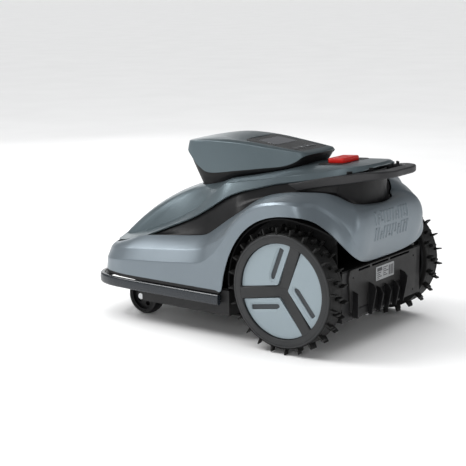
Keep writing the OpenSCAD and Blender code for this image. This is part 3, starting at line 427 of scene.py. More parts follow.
# raised bars on the tail of the shell
def tail_bars():
    verts, faces = [], []

    def bar(x0, x1, z0, z1, h=1.1):
        xs = [x0, x0 + 0.35, (x0 + x1) / 2, x1 - 0.35, x1]
        k = max(2, int((z1 - z0) / 3))
        zs = [z0] + [z0 + 0.35 + (z1 - z0 - 0.7) * j / k for j in range(k + 1)] + [z1]
        nx, nz = 4, len(zs) - 1
        pts = []
        for i in range(nx + 1):
            for j in range(nz + 1):
                x, z = xs[i], zs[j]
                hit, nor, _, _ = shell_bvh.ray_cast(Vector((x * 1e-3, 0.5, z * 1e-3)), Vector((0, -1, 0)))
                if hit is None:
                    return
                if nor.y < 0:
                    nor = -nor
                edge = i in (0, nx) or j in (0, nz)
                pts.append(hit + nor * (h * 1e-3 if not edge else -0.0004))
        o = len(verts)
        verts.extend(tuple(p) for p in pts)
        m = nz + 1
        for i in range(nx):
            for j in range(nz):
                faces.append((o + i * m + j, o + i * m + j + 1, o + (i + 1) * m + j + 1, o + (i + 1) * m + j))

    lens = [1.0, 0.55, 1.0, 0.8, 1.0, 0.45, 1.0, 0.7, 1.0, 0.6, 1.0]
    for row, (zl, zh) in enumerate(((212, 238), (243, 269))):
        for k in range(12):
            x = -58 + k * 11
            l = lens[(k * 3 + row * 4) % 11]
            h = (zh - zl) * l
            if (k + row) % 2:
                bar(x - 2.2, x + 2.2, zl, zl + h)
            else:
                bar(x - 2.2, x + 2.2, zh - h, zh)
            if l < 0.9:
                z = zl + h + 3.5 if (k + row) % 2 else zh - h - 3.5
                bar(x - 2.2, x + 2.2, min(z, z + 4.4) - 2.2, max(z, z + 4.4) - 2.2)
    return new_object("visual_tail_relief", verts, faces)


relief = tail_bars()
place(relief, "mower_body", "body_paint", "body_paint")


# ------------------------------------------------------------------ mid shell
def ms_col(u):
    d, i, p, j = at(LD, u), inw(LD, u), at(CP, u), inw(CP, u)
    f = min(max(u - 15, 0) / 2, 1)
    a = p + j * 6 - np.array([0, 0, 3])
    b = ato(MR, max(u - 17, 0))
    q = a * (1 - f) + b * f
    g = min(max(u - 11, 0) / 2.5, 1)
    e = d + i * 3.2
    h = 0.5 + 0.42 * g
    m = e * (1 - h) + q * h
    w = 4 * min(max(7.5 - u, 0) / 2, 1)
    mid = np.array([m[0], m[1], m[2] * (1 - g) + (d[2] - 8) * g - w])
    # the lower edge turns outwards under the lower shell, the upper one turns up under the cover
    lip = q + j * 8 + np.array([0, 0, 2.2 - 3.2 * f])
    pts = [d - i * 3.0 - np.array([0, 0, 10.5]), e - np.array([0, 0, 8.8]), e, mid, q, lip, lip + j * 0.8 + np.array([0, 0, 2.4])]
    f = fillet(pts, {1: 1.6, 2: 3.0, 3: 7.0, 4: 2.0, 5: 1.2}, 5)
    return fill_rows(f, [2, 1, 1, 1, 1, 1, 1, 1, 1, 1, 1, 3])


cols = ring([ms_col(k * 24 / HN) for k in range(HN + 1)])
mid = grid_object("visual_mid_shell", cols)
outward(mid, (0, -0.02, 0.16))
thick(mid, 2.2)
place(mid, "mower_body", "black_plastic", "black_plastic", "mid_shell")

# inner walls of the wheel houses, closed up to the underside of the lower shell
def house_wall(side):
    ys = [-158 + 250 * k / 44 for k in range(45)]
    top = []
    for y in ys:
        o = Vector((side * 0.154, (y + YO) * 1e-3, 0.20))
        hit, nor, _, _ = shell_bvh.ray_cast(o, Vector((0, 0, 1)))
        z = hit.z * 1e3 - 3.4 if hit is not None else 236.0
        top.append(z)
    top = [min(top[max(0, k - 1):k + 2]) for k in range(45)]
    verts, faces = [], []
    rows = 9
    for x in (153.0, 154.8):
        for k, y in enumerate(ys):
            lo = 107.5 if y < -143.8 else 150.0
            for j in range(rows):
                t = j / (rows - 1)
                # a shallow rolled rib half way up stiffens the wall
                bulge = 0.35 * math.exp(-((t - 0.55) / 0.08) ** 2)
                verts.append((side * (x + bulge) * 1e-3, (y + YO) * 1e-3, (lo + (top[k] - lo) * t) * 1e-3))
    n = 45 * rows
    for b in (0, n):
        for k in range(44):
            for j in range(rows - 1):
                a = b + k * rows + j
                faces.append((a, a + rows, a + rows + 1, a + 1))
    for k in range(44):
        for j in (0, rows - 1):
            a = k * rows + j
            faces.append((a, a + rows, a + rows + n, a + n))
    for k in (0, 44):
        for j in range(rows - 1):
            a = k * rows + j
            faces.append((a, a + 1, a + 1 + n, a + n))
    o = new_object("visual_house_wall_" + ("left" if side > 0 else "right"), verts, faces, False)
    bm = bmesh.new()
    bm.from_mesh(o.data)
    bmesh.ops.recalc_face_normals(bm, faces=bm.faces)
    bm.to_mesh(o.data)
    bm.free()
    return place(o, "mower_body", "black_plastic", "liner_plastic")


house_wall(1)
house_wall(-1)

# ------------------------------------------------------------------ top cover
CK = [(CR[i] + CQ[i]) / 2 + np.array([0, -3 if i < 4 else 0, CW[i]]) for i in range(25)]


GU = 8.6


def tc_col(u):
    r, q = at(CR, u), at(CQ, u)
    k = at(CK, u) * 2 - (r + q) / 2
    up = [r * (1 - s) ** 2 + k * 2 * s * (1 - s) + q * s * s for s in np.linspace(0, 1, 25)]
    p = at(CP, u)
    l = np.linalg.norm(up[0] - p)
    # the crease carries a fine groove that runs out towards the nose
    d = 1.3 * min(max((u - GU) / 1.5, 0), 1)
    t0, t1 = unit(p - up[0]), unit(up[1] - up[0])
    inn = unit(t0 + t1 + np.array([0, 0, -1e-6]))
    c = min(1.3, l * 0.3)
    pts = [p, r + t0 * (c + 0.3), r + t0 * 0.7 + inn * d * 0.15, r + t0 * 0.45 + inn * d, r + t1 * 0.45 + inn * d, r + t1 * 0.7 + inn * d * 0.15, r + t1 * c] + up[1:]
    return fill_rows(pts, [4])


cols = ring([tc_col(k * 24 / HN) for k in range(HN + 1)])
cover = grid_object("visual_top_cover", cols)
outward(cover, (0, -0.02, 0.16))


def frame_matrix(origin, tilt_deg):
    return Matrix.Translation(to_m(origin)) @ Matrix.Rotation(math.radians(tilt_deg), 4, "X")


STOP = frame_matrix((0, 10, 351.6), 3.4)
DISP = frame_matrix((0, -196, 389.2), -6.81)
CAM = frame_matrix((0, -322.4, 331), 90 + 20.9)


def cut_away(o, inside):
    bm = bmesh.new()
    bm.from_mesh(o.data)
    gone = [f for f in bm.faces if all(inside(v.co) for v in f.verts)]
    bmesh.ops.delete(bm, geom=gone, context="FACES")
    bm.to_mesh(o.data)
    bm.free()


si = STOP.inverted()
cut_away(cover, lambda p: abs((si @ p).x) < 0.0535 and abs((si @ p).y) < 0.0285)
thick(cover, 2.6)
place(cover, "mower_body", "cover_paint", "cover_paint", "top_cover")

# ------------------------------------------------------------------ pod
PK = [(PS[i] + PQ[i]) / 2 + np.array([0, 0, PW[i]]) for i in range(14)]


def ps_col(u):
    p, r, q = at(PP, u), at(PS, u), at(PQ, u)
    k = at(PK, u) * 2 - (r + q) / 2
    side = p * 0.5 + r * 0.5 + np.array([0, 0, 0.8])
    w = min(max(u - 1.5, 0), 1) * min(max(11.5 - u, 0), 1)
    side = side + unit(np.array([r[0], 0.0, 0.0])) * 0.8 * w
    up = [r * (1 - s) ** 2 + k * 2 * s * (1 - s) + q * s * s for s in np.linspace(0, 1, 15)]
    low = [p * (1 - t) ** 2 + side * 2 * t * (1 - t) * 1.0 + r * t * t for t in np.linspace(0, 1, 7)]
    pts = low[:-1] + up
    return fillet(pts, {6: 3.2}, 6)


PN = 120
cols = ring([ps_col(k * 13 / PN) for k in range(PN + 1)])
cols = [[p - np.array([0, 0, max(0, p[2] - 392.2)]) for p in c] for c in cols]
pod = grid_object("visual_pod_shell", cols)
outward(pod, (0, -0.01, 0.34))
thick(pod, 2.0)
place(pod, "mower_body", "cover_paint", "cover_paint", "pod_shell")


def cu(v):
    i = min(int(math.floor(v)), 12)
    return CU[i] + (CU[i + 1] - CU[i]) * (v - i)


def pb_col(v):
    w = cu(v)
    c = at(CQ, w) + inw(CQ, w) * 1.7
    t = min(max(v - 9.5, 0), 1)
    p = at(PP, v) + inw(PP, v) * 3.4
    z = np.array([0, 0, 1.0])
    pts = [c - z * 9, c + z * 0.8, c * 0.35 + p * 0.65 - z * 3, p - z * 2, p + z * (4 - 4.8 * t)]
    return fill_rows(fillet(pts, {1: 2.0, 2: 5.0, 3: 1.5}, 5), [1, 1, 1, 1, 1, 2, 1, 1, 1, 1, 2])


cols = ring([pb_col(k * 13 / PN) for k in range(PN + 1)])
base = grid_object("visual_pod_base", cols)
outward(base, (0, -0.01, 0.34))
thick(base, 2.0)
place(base, "mower_body", "black_plastic", "black_plastic", "pod_base")


# ------------------------------------------------------------------ flat outlines turned into rounded plates
def stadium_or_rect(x, y, r, n=10):
    pts = []
    for cx, cy, a0 in ((x / 2 - r, y / 2 - r, 0), (-x / 2 + r, y / 2 - r, 90), (-x / 2 + r, -y / 2 + r, 180), (x / 2 - r, -y / 2 + r, 270)):
        for k in range(n + 1):
            a = math.radians(a0 + 90 * k / n)
            pts.append((cx + r * math.cos(a), cy + r * math.sin(a)))
    return pts


def circle(cx, cy, r, n=48):
    return [(cx + r * math.cos(2 * math.pi * k / n), cy + r * math.sin(2 * math.pi * k / n)) for k in range(n)]


def plate(name, outer, holes, z0, z1, bev, mat4, seg=3):
    """A plate between two heights with rounded edges, cut by holes, put in place by a matrix. Millimetres."""
    cu_ = bpy.data.curves.new(name, "CURVE")
    cu_.dimensions = "2D"
    cu_.fill_mode = "BOTH"
    cu_.extrude = ((z1 - z0) / 2 - bev) * 1e-3
    cu_.bevel_depth = bev * 1e-3
    cu_.bevel_resolution = seg
    cu_.offset = -bev * 1e-3
    for loop in [outer] + holes:
        s = cu_.splines.new("POLY")
        s.points.add(len(loop) - 1)
        for k, (x, y) in enumerate(loop):
            s.points[k].co = (x * 1e-3, y * 1e-3, 0, 1)
        s.use_cyclic_u = True
    tmp = bpy.data.objects.new(name, cu_)
    bpy.context.scene.collection.objects.link(tmp)
    bpy.context.view_layer.update()
    dg = bpy.context.evaluated_depsgraph_get()
    me = bpy.data.meshes.new_from_object(tmp.evaluated_get(dg))
    bpy.data.objects.remove(tmp)
    bpy.data.curves.remove(cu_)
    me.name = name
    me.transform(Matrix.Translation((0, 0, (z0 + z1) / 2 * 1e-3)))
    bm = bmesh.new()
    bm.from_mesh(me)
    bmesh.ops.remove_doubles(bm, verts=bm.verts, dist=1e-6)
    bmesh.ops.recalc_face_normals(bm, faces=bm.faces)
    bm.to_mesh(me)
    bm.free()
    me.transform(mat4)
    me.polygons.foreach_set("use_smooth", [True] * len(me.polygons))
    o = bpy.data.objects.new(name, me)
    bpy.context.scene.collection.objects.link(o)
    w = o.modifiers.new("normals", "WEIGHTED_NORMAL")
    w.keep_sharp = False
    return o


def revolve(name, profile, mat4, n=96, spin0=0.0):
    """Profile of (radius, height) pairs turned about Z, then put in place by a matrix. Millimetres."""
    verts, faces = [], []
    m = len(profile)
    for k in range(n):
        a = 2 * math.pi * k / n + spin0
        for r, z in profile:
            verts.append((r * math.cos(a) * 1e-3, r * math.sin(a) * 1e-3, z * 1e-3))
    for k in range(n):
        q = (k + 1) % n
        for j in range(m - 1):
            faces.append((k * m + j, q * m + j, q * m + j + 1, k * m + j + 1))
    o = new_object(name, verts, faces)
    o.data.transform(mat4)
    bm = bmesh.new()
    bm.from_mesh(o.data)
    bmesh.ops.recalc_face_normals(bm, faces=bm.faces)
    bm.to_mesh(o.data)
    bm.free()
    w = o.modifiers.new("normals", "WEIGHTED_NORMAL")
    w.keep_sharp = False
    return o


def round_profile(pts, cut, seg=4):
    return [tuple(p) for p in fillet([np.array(p, float) for p in pts], cut, seg)]


# ------------------------------------------------------------------ display, keys
def disp_outline(o):
    loop = []
    for k in range(53):
        v = k / 4
        p = at(PQ, v) + inw(PQ, v) * o
        loop.append((p[0], (p[1] + 196) / math.cos(math.radians(6.81))))
    return loop + [(-x, y) for x, y in reversed(loop[1:-1])]


KX = (-31.5, -10.5, 10.5, 31.5)
KY = 112.0
panel = plate("visual_display_panel", disp_outline(0.7), [circle(x, KY, 8.4) for x in KX], -3.4, -0.8, 0.5, DISP)
place(panel, "mower_body", "panel_gloss", "panel_gloss", "display_panel")
window = plate("visual_screen_window", [(x, y + 46) for x, y in stadium_or_rect(74, 48, 5)], [], -1.7, -0.5, 0.35, DISP)
place(window, "mower_body", "panel_gloss", "lens_glass", "screen_window")
keys = [("power_key", "key_power"), ("home_key", "key_home"), ("mow_key", "key_mow"), ("ok_key", "key_ok")]
for i, (body, node) in enumerate(keys):
    prof = round_profile([(0, -4.8), (9.6, -4.8), (9.6, -3.8), (8, -3.8), (8, 0), (6.4, 0.0), (0, -0.5)], {4: 0.8, 5: 0.8, 2: 0.3}, 4)
    k = revolve("visual_" + node, prof, DISP @ Matrix.Translation((KX[i] * 1e-3, KY * 1e-3, 0)), 64)
    place(k, body, "key_plastic", "key_plastic", node)


def icon(body, name, loops_outer, holes=(), dx=0.0):
    o = plate(name, [(x + dx, y + KY) for x, y in loops_outer], [[(x + dx, y + KY) for x, y in h] for h in holes], -0.62, -0.32, 0.06, DISP, 1)
    place(o, body, "key_plastic", "icon")


icon("power_key", "visual_icon_power", circle(0, 0, 3.6, 36), [circle(0, 0, 2.8, 36)], KX[0])
icon("power_key", "visual_icon_power_bar", stadium_or_rect(0.9, 3.6, 0.4), [], KX[0])
icon("home_key", "visual_icon_home", [(-3.6, -0.4), (0, 3.4), (3.6, -0.4), (2.6, -0.4), (2.6, -3.2), (-2.6, -3.2), (-2.6, -0.4)], [[(-0.8, -2.6), (-0.8, -0.4), (0.8, -0.4), (0.8, -2.6)]], KX[1])
icon("mow_key", "visual_icon_start", [(-2.2, -3.2), (3.2, 0), (-2.2, 3.2)], [], KX[2])
icon("ok_key", "visual_icon_ok", circle(0, 0, 3.4, 36), [circle(0, 0, 1.9, 36)], KX[3])

# ------------------------------------------------------------------ cameras
bez_plate = plate("visual_camera_bezel", stadium_or_rect(112, 44, 10), [circle(-34, 0, 11.2), circle(34, 0, 11.2)], 0, 3.4, 0.9, CAM)
place(bez_plate, "mower_body", "panel_gloss", "panel_gloss", "camera_bezel")
verts_l = []
prof = round_profile([(0.01, 0.3), (11, 0.3), (11, 4.1), (9.6, 4.7), (8.6, 3.7), (6.4, 2.9), (5.4, 4.3), (3, 5.1), (0.01, 5.4)], {2: 0.5, 3: 0.4, 4: 0.4, 5: 0.3, 6: 0.4, 7: 0.8}, 4)
for s, nm in ((-34, "visual_camera_lens_a"), (34, "visual_camera_lens_b")):
    o = revolve(nm, prof, CAM @ Matrix.Translation((s * 1e-3, 0, 0)), 72)
    place(o, "mower_body", "lens_glass", "lens_glass")
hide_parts("camera_lenses")

# ------------------------------------------------------------------ stop button
pad = plate("visual_stop_bezel", stadium_or_rect(112, 62, 14, 14), [stadium_or_rect(61, 41, 6.5)], -6.4, 1.0, 0.8, STOP)
place(pad, "mower_body", "black_plastic", "black_plastic")
pan = plate("visual_stop_bezel_pan", stadium_or_rect(70, 50, 8), [circle(0, 0, 10.8)], -12, -5.4, 0.3, STOP, 1)
place(pan, "mower_body", "black_plastic", "black_plastic")
cup = revolve("visual_stop_bezel_cup", [(12.6, -10), (12.6, -15.6), (12.2, -16), (6.06, -16), (6.06, -14), (10.8, -14), (10.8, -10), (12.6, -10)], STOP, 48)
place(cup, "mower_body", "black_plastic", "black_plastic")
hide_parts("stop_bezel")


def red_cap():
    """Domed rectangular cap: rounded outline lofted up with a soft top edge and a slight crown."""
    rows = [(61, 0, -0.8), (0, 0, 0)]
    prof_ = [(0.4, -0.8), (0, -0.4), (0, 7.0), (0.25, 8.2), (0.9, 9.0), (1.9, 9.5), (3.2, 9.72)]
    verts, faces = [], []
    outline = stadium_or_rect(60, 40, 6, 8)
    n = len(outline)
    for d, z in prof_:
        k = (60 - 2 * d) / 60
        k2 = (40 - 2 * d) / 40
        verts += [(x * k, y * k2, z) for x, y in outline]
    for s in (0.75, 0.5, 0.25):
        verts += [(x * s * 0.893, y * s * 0.84, 9.72 + 0.08 * (1 - s)) for x, y in outline]
    m = len(prof_) + 3
    for j in range(m - 1):
        for k in range(n):
            q = (k + 1) % n
            faces.append((j * n + k, j * n + q, (j + 1) * n + q, (j + 1) * n + k))
    faces.append(tuple(range(n - 1, -1, -1)))
    faces.append(tuple((m - 1) * n + k for k in range(n)))
    o = new_object("visual_stop_button", [(x * 1e-3, y * 1e-3, z * 1e-3) for x, y, z in verts], faces)
    o.data.transform(STOP)
    return o


cap = red_cap()
place(cap, "stop_cap", "button_red", "button_red", "stop_button")
octo = [(11.5 * math.cos(math.radians(22.5 + 45 * k)), 11.5 * math.sin(math.radians(22.5 + 45 * k))) for k in range(8)]
octi = [(9.2 * math.cos(math.radians(22.5 + 45 * k)), 9.2 * math.sin(math.radians(22.5 + 45 * k))) for k in range(8)]
sign = plate("visual_stop_sign", octo, [octi], 9.4, 10.25, 0.2, STOP, 1)
place(sign, "stop_cap", "button_red", "button_red")
stem = revolve("visual_stop_stem", [(0.01, -22), (5.6, -22), (6, -21.6), (6, -0.4), (0.01, -0.4)], STOP, 40)
place(stem, "stop_cap", "button_red", "button_red")


# ------------------------------------------------------------------ swept bars
def rr_section(w, h, r, n=5):
    pts = []
    for cx, cy, a0 in ((w - r, h - r, 0), (-w + r, h - r, 90), (-w + r, -h + r, 180), (w - r, -h + r, 270)):
        for k in range(n + 1):
            a = math.radians(a0 + 90 * k / n)
            pts.append((cx + r * math.cos(a), cy + r * math.sin(a)))
    return pts


def h_frame(T, u):
    c = ato(T, u, True)
    a = ato(T, 0.05 - u, True) * MX if u < 0.05 else ato(T, u - 0.05, True)
    b = ato(T, min(u + 0.05, len(T) - 1), True)
    d = unit(np.array([b[0] - a[0], b[1] - a[1], 0.0]))
    return c, d


def handle_sec(u):
    c, d = h_frame(HC, u)
    o = np.array([-d[1], d[0], 0.0])
    i = min(int(u), 9)
    w, z = (HW[i] + (HW[i + 1] - HW[i]) * (u - i))[:2]
    r = min(w, z) * 0.5
    v = 0.6 * max(u - 8, 0)
    return [(ato(HC, u - v * (1 - y / z) / 2, True) if v > 0 else c) + o * x + np.array([0, 0, y]) for x, y in rr_section(w, z, r)]


def sweep(name, sec, n, per):
    S = []
    for k in range(-n, n + 1):
        s = sec(abs(k) / per)
        S.append([p * MX for p in s] if k < 0 else s)
    o = grid_object(name, S, close_u=False, close_v=True, caps=True)
    bm = bmesh.new()
    bm.from_mesh(o.data)
    bmesh.ops.recalc_face_normals(bm, faces=bm.faces)
    bm.to_mesh(o.data)
    bm.free()
    w = o.modifiers.new("normals", "WEIGHTED_NORMAL")
    w.keep_sharp = False
    return o


handle = sweep("visual_rear_handle", handle_sec, 160, 16)
# the handle gets the lighter copy of the black plastic, painted light
place(handle, "mower_body", "black_plastic", "handle_plastic_lit", "rear_handle")
BSP = [np.array((*p, 0.0)) for p in BS]


def bumper_sec(u):
    c, d = h_frame(BP, u)
    o = np.array([d[1], -d[0], 0.0])
    pts = BSP
    n = len(pts)
    out = []
    for i, p in enumerate(pts):
        a, b = pts[i - 1] - p, pts[(i + 1) % n] - p
        la, lb = np.linalg.norm(a), np.linalg.norm(b)
        cut = 1.6 if i in (1, 2, 5, 6) else (3.0 if i == 0 else 1.0)
        p0, p1 = p + a / la * min(cut, la * 0.45), p + b / lb * min(cut, lb * 0.45)
        for t in np.linspace(0, 1, 5):
            q = p0 * (1 - t) ** 2 + p * 2 * t * (1 - t) + p1 * t * t
            out.append(c + o * q[0] + np.array([0, 0, q[1]]))
    return out


bumper = sweep("visual_front_bumper", bumper_sec, 160, 16)
place(bumper, "bumper", "bumper_gloss", "bumper_gloss", "front_bumper")

# ------------------------------------------------------------------ rear wheels
AX = Matrix.Translation((0, YO * 1e-3, 0.125)) @ Matrix.Rotation(math.radians(90), 4, "Y")
# local frame of a wheel: local z is the row's +X, local x is -Z, local y is +Y
WHEEL = Matrix.Translation((0, YO * 1e-3, 0.125)) @ Matrix(((0, 0, 1, 0), (1, 0, 0, 0), (0, 1, 0, 0), (0, 0, 0, 1)))
# with WHEEL: local x -> row +Y, local y -> row +Z, local z -> row +X
HALF = Matrix.Translation((0, YO * 1e-3, 0)) @ Matrix.Rotation(math.pi, 4, "Z") @ Matrix.Translation((0, -YO * 1e-3, 0))


def petal_outline(o, r, corner=3.0, n=40, rot=0.0):
    """Sector between two spokes 120 degrees apart, edges at distance o from the spoke centre lines, rounded corners."""
    c0 = np.array([o / math.tan(math.radians(60)), o])
    a_lo = math.asin(o / r)
    a_hi = math.radians(120) - a_lo
    arc = [np.array([r * math.cos(a), r * math.sin(a)]) for a in np.linspace(a_lo, a_hi, n)]
    pts = [c0] + arc
    f = fillet(pts, {}, 4)
    # round the three corners
    def corner_pts(prev, p, nxt, c):
        a, b = unit(prev - p), unit(nxt - p)
        p0, p1 = p + a * c, p + b * c
        return [p0 * (1 - t) ** 2 + p * 2 * t * (1 - t) + p1 * t * t for t in np.linspace(0, 1, 7)]
    out = corner_pts(arc[-1], c0, arc[0], corner)
    skip = max(1, int(corner * 0.8 / (r * (a_hi - a_lo) / n)))
    out += corner_pts(c0, arc[0], arc[skip], corner)
    out += arc[skip + 1:-(skip + 1)]
    out += corner_pts(arc[-(skip + 1)], arc[-1], c0, corner)
    ca, sa = math.cos(rot), math.sin(rot)
    return [(p[0] * ca - p[1] * sa, p[0] * sa + p[1] * ca) for p in out]


def stadium(x0, x1, y, w, rot=0.0, n=12):
    r = w / 2
    pts = [(x1 + r * math.cos(a), y + r * math.sin(a)) for a in np.linspace(-math.pi / 2, math.pi / 2, n)]
    pts += [(x0 + r * math.cos(a), y + r * math.sin(a)) for a in np.linspace(math.pi / 2, 3 * math.pi / 2, n)]
    ca, sa = math.cos(rot), math.sin(rot)
    return [(p[0] * ca - p[1] * sa, p[0] * sa + p[1] * ca) for p in pts]


def slot_loop(w, rot, x0=16.0, x1=73.0, y=30.0, n=6):
    """Slot with a squared outer end and a pointed inner end."""
    h = w / 2
    c = 2.2 + (h - 5) * 0.9
    e = x1 + 4.6 + (h - 5)
    pts = []
    for cx, cy, a0 in ((e - c, y - h + c, -90), (e - c, y + h - c, 0)):
        pts += [(cx + c * math.cos(math.radians(a)), cy + c * math.sin(math.radians(a))) for a in np.linspace(a0, a0 + 90, n)]
    tip = x0 - 5.0 - (h - 5) * 1.2
    for px, py in ((x0 + 5, y + h), (x0 + 2.5, y + h * 0.93), (x0 - 0.5, y + h * 0.72), (tip + 1.2, y + h * 0.30), (tip + 0.1, y), (tip + 0.3, y - h * 0.35), (tip + 1.6, y - h * 0.72), (x0 - 1.2, y - h * 0.95), (x0 + 1.5, y - h)):
        pts.append((px, py))
    ca, sa = math.cos(rot), math.sin(rot)
    return [(q[0] * ca - q[1] * sa, q[0] * sa + q[1] * ca) for q in pts]


def loops_mesh(name, loops, mat4, cap_last=False):
    """Joins loops of (x, y, z) with the same count of points by quads."""
    verts, faces = [], []
    n = len(loops[0])
    for lp in loops:
        verts += [(x * 1e-3, y * 1e-3, z * 1e-3) for x, y, z in lp]
    for j in range(len(loops) - 1):
        for k in range(n):
            q = (k + 1) % n
            faces.append((j * n + k, j * n + q, (j + 1) * n + q, (j + 1) * n + k))
    if cap_last:
        faces.append(tuple((len(loops) - 1) * n + k for k in range(n)))
    o = new_object(name, verts, faces)
    o.data.transform(mat4)
    return o


def join(name, parts):
    """One mesh from several objects, keeping each one's material order."""
    bm = bmesh.new()
    mats = []
    for p in parts:
        dg = bpy.context.evaluated_depsgraph_get()
        ev = p.evaluated_get(dg)
        me = bpy.data.meshes.new_from_object(ev)
        off = {}
        for i, m in enumerate(p.data.materials):
            if m not in mats:
                mats.append(m)
            off[i] = mats.index(m)
        for poly in me.polygons:
            poly.material_index = off.get(poly.material_index, 0)
        bm.from_mesh(me)
        bpy.data.meshes.remove(me)
    me = bpy.data.meshes.new(name)
    bm.to_mesh(me)
    bm.free()
    for m in mats:
        me.materials.append(m)
    me.polygons.foreach_set("use_smooth", [True] * len(me.polygons))
    for p in parts:
        bpy.data.objects.remove(p)
    o = bpy.data.objects.new(name, me)
    bpy.context.scene.collection.objects.link(o)
    return o


def dish(r):
    if r < 93.5:
        return 202.4 + (211.0 - 202.4) * (r / 93.5)
    return 211.0


def hub_object():
    holes = [petal_outline(11.6, 94.5, 5.0, 40, math.radians(a)) for a in (69, 189, 309)]
    face = plate("hub_face", circle(0, 0, 97.0, 144), holes, 200.0, 211.2, 2.5, Matrix.Identity(4), 5)
    bm = bmesh.new()
    bm.from_mesh(face.data)
    es = [e for e in bm.edges if e.calc_length() > 0.02]
    bmesh.ops.subdivide_edges(bm, edges=es, cuts=2, use_grid_fill=False)
    bmesh.ops.triangulate(bm, faces=[f for f in bm.faces if len(f.verts) > 4])
    for v in bm.verts:
        r = math.hypot(v.co.x, v.co.y) * 1e3
        if v.co.z > 0.207:
            v.co.z += (dish(r) - 211.0) * 1e-3
    bm.to_mesh(face.data)
    bm.free()
    rim = revolve("hub_rim", round_profile([(95.2, 199.8), (95.2, 210.9), (95.9, 211.6), (105.6, 211.6), (105.9, 210.9), (106.6, 210.9), (106.9, 211.6), (110, 211.6), (112, 209.6), (112, 207), (104, 207), (104, 166), (99, 166), (99, 193), (28, 191), (24, 179), (6.1, 179), (6.1, 196), (0.01, 196)],
                                        {2: 0.5, 7: 1.2, 8: 1.2, 11: 0.8, 12: 0.8, 14: 3, 15: 2}, 4), Matrix.Identity(4), 144)
    floor_ = revolve("hub_floor", [(0.01, 199.6), (95, 199.6)], Matrix.Identity(4), 96)
    give(face, "hub_plastic")
    give(rim, "hub_plastic")
    give(floor_, "slot_plastic")
    return join("hub", [face, rim, floor_])


def insert_object():
    parts = []
    for a in (69, 189, 309):
        ra = math.radians(a)
        p = plate("petal", petal_outline(12.5, 93.6, 3.0, 40, ra), [slot_loop(17.4, ra)], 200.2, 206.8, 0.8, Matrix.Identity(4), 3)
        give(p, "insert_paint")
        parts.append(p)
        wz = ((17.6, 206.35), (17.0, 206.3), (15.6, 206.0), (11.6, 204.9), (10.6, 204.55), (10.2, 204.1), (10.0, 202.6))
        f = loops_mesh("funnel", [[(x, y, z) for x, y in slot_loop(w, ra)] for w, z in wz], Matrix.Identity(4))
        give(f, "insert_paint")
        parts.append(f)
        s = loops_mesh("slot_floor", [[(x, y, z) for x, y in slot_loop(w, ra)] for w, z in ((10.4, 202.9), (8.0, 202.8), (5.0, 202.8))], Matrix.Identity(4), True)
        give(s, "slot_plastic")
        parts.append(s)
    return join("inserts", parts)


def lug_mesh(bm, x0, x1, half_b, half_t, top, ang, skew=0.0, round_=0.35, lean=0.0):
    """A tapered lug across the tread; local frame: x,y in the wheel plane, z along the axle."""
    r0 = 112.8
    vs = []
    for z in (x0, x1):
        s = skew * (z - (x0 + x1) / 2)
        for t, r in ((-half_b, r0), (-half_t, top), (half_t, top), (half_b, r0)):
            tt = t + s + (lean * (r - r0))
            vs.append(bm.verts.new((r * 1e-3, tt * 1e-3, z * 1e-3)))
    a, b = vs[:4], vs[4:]
    fs = [bm.faces.new(a[::-1]), bm.faces.new(b)]
    for i in range(3):
        fs.append(bm.faces.new((a[i], a[i + 1], b[i + 1], b[i])))
    fs.append(bm.faces.new((a[3], a[0], b[0], b[3])))
    es = list({e for f in fs for e in f.edges})
    top_es = [e for e in es if not all(abs(v.co.x * 1e3 - r0) < 0.01 for v in e.verts)]
    res = bmesh.ops.bevel(bm, geom=top_es, offset=round_ * 1e-3, segments=2, affect="EDGES", profile=0.5)
    verts = {v for f in res["faces"] for v in f.verts} | {v for f in fs if f.is_valid for v in f.verts}
    bmesh.ops.rotate(bm, verts=list(verts), cent=(0, 0, 0), matrix=Matrix.Rotation(ang, 3, "Z"))


def tyre_object():
    prof = round_profile([(104.1, 165), (108, 164.2), (112.2, 164.2), (113.6, 165.6), (113.6, 172), (113.2, 172.4), (113.2, 173.2), (113.6, 173.6), (113.6, 201.8), (113.2, 202.2), (113.2, 203), (113.6, 203.4), (113.6, 209.2), (112.4, 210.6), (112.3, 206.8), (104.1, 206.8)],
                        {2: 0.6, 3: 0.6, 12: 0.6, 13: 0.5}, 4)
    car = revolve("carcass", prof, Matrix.Identity(4), 192)
    bm = bmesh.new()
    for k in range(24):
        a = math.radians(k * 15)
        lug_mesh(bm, 198.4, 211.2, 2.3, 1.25, 125.0, a + math.radians(4), 0.10)
        lug_mesh(bm, 164.4, 177.2, 2.3, 1.25, 125.0, a + math.radians(9.5), -0.10)
        lug_mesh(bm, 180.4, 194.6, 3.2, 2.2, 123.2, a + math.radians(14), 0.0, 0.5)
    me = bpy.data.meshes.new("lugs")
    bm.normal_update()
    bmesh.ops.recalc_face_normals(bm, faces=bm.faces)
    bm.to_mesh(me)
    bm.free()
    lugs = bpy.data.objects.new("lugs", me)
    bpy.context.scene.collection.objects.link(lugs)
    w = lugs.modifiers.new("normals", "WEIGHTED_NORMAL")
    give(car, "tyre_rubber")
    give(lugs, "tyre_rubber")
    return join("tyre", [car, lugs])


def wheel_set(side, turn):
    for maker, node, slot_ in ((hub_object, "hub", "hub_plastic"), (insert_object, "inserts", "insert_paint"), (tyre_object, "tyre", "tyre_rubber")):
        o = maker()
        o.name = f"visual_{node}_{side}"
        o.data.transform(turn @ WHEEL)
        w = o.modifiers.new("normals", "WEIGHTED_NORMAL")
        w.keep_sharp = False
        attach(o, side + "_wheel")
        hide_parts(f"{node}_{side}")


wheel_set("left", Matrix.Identity(4))
wheel_set("right", HALF)


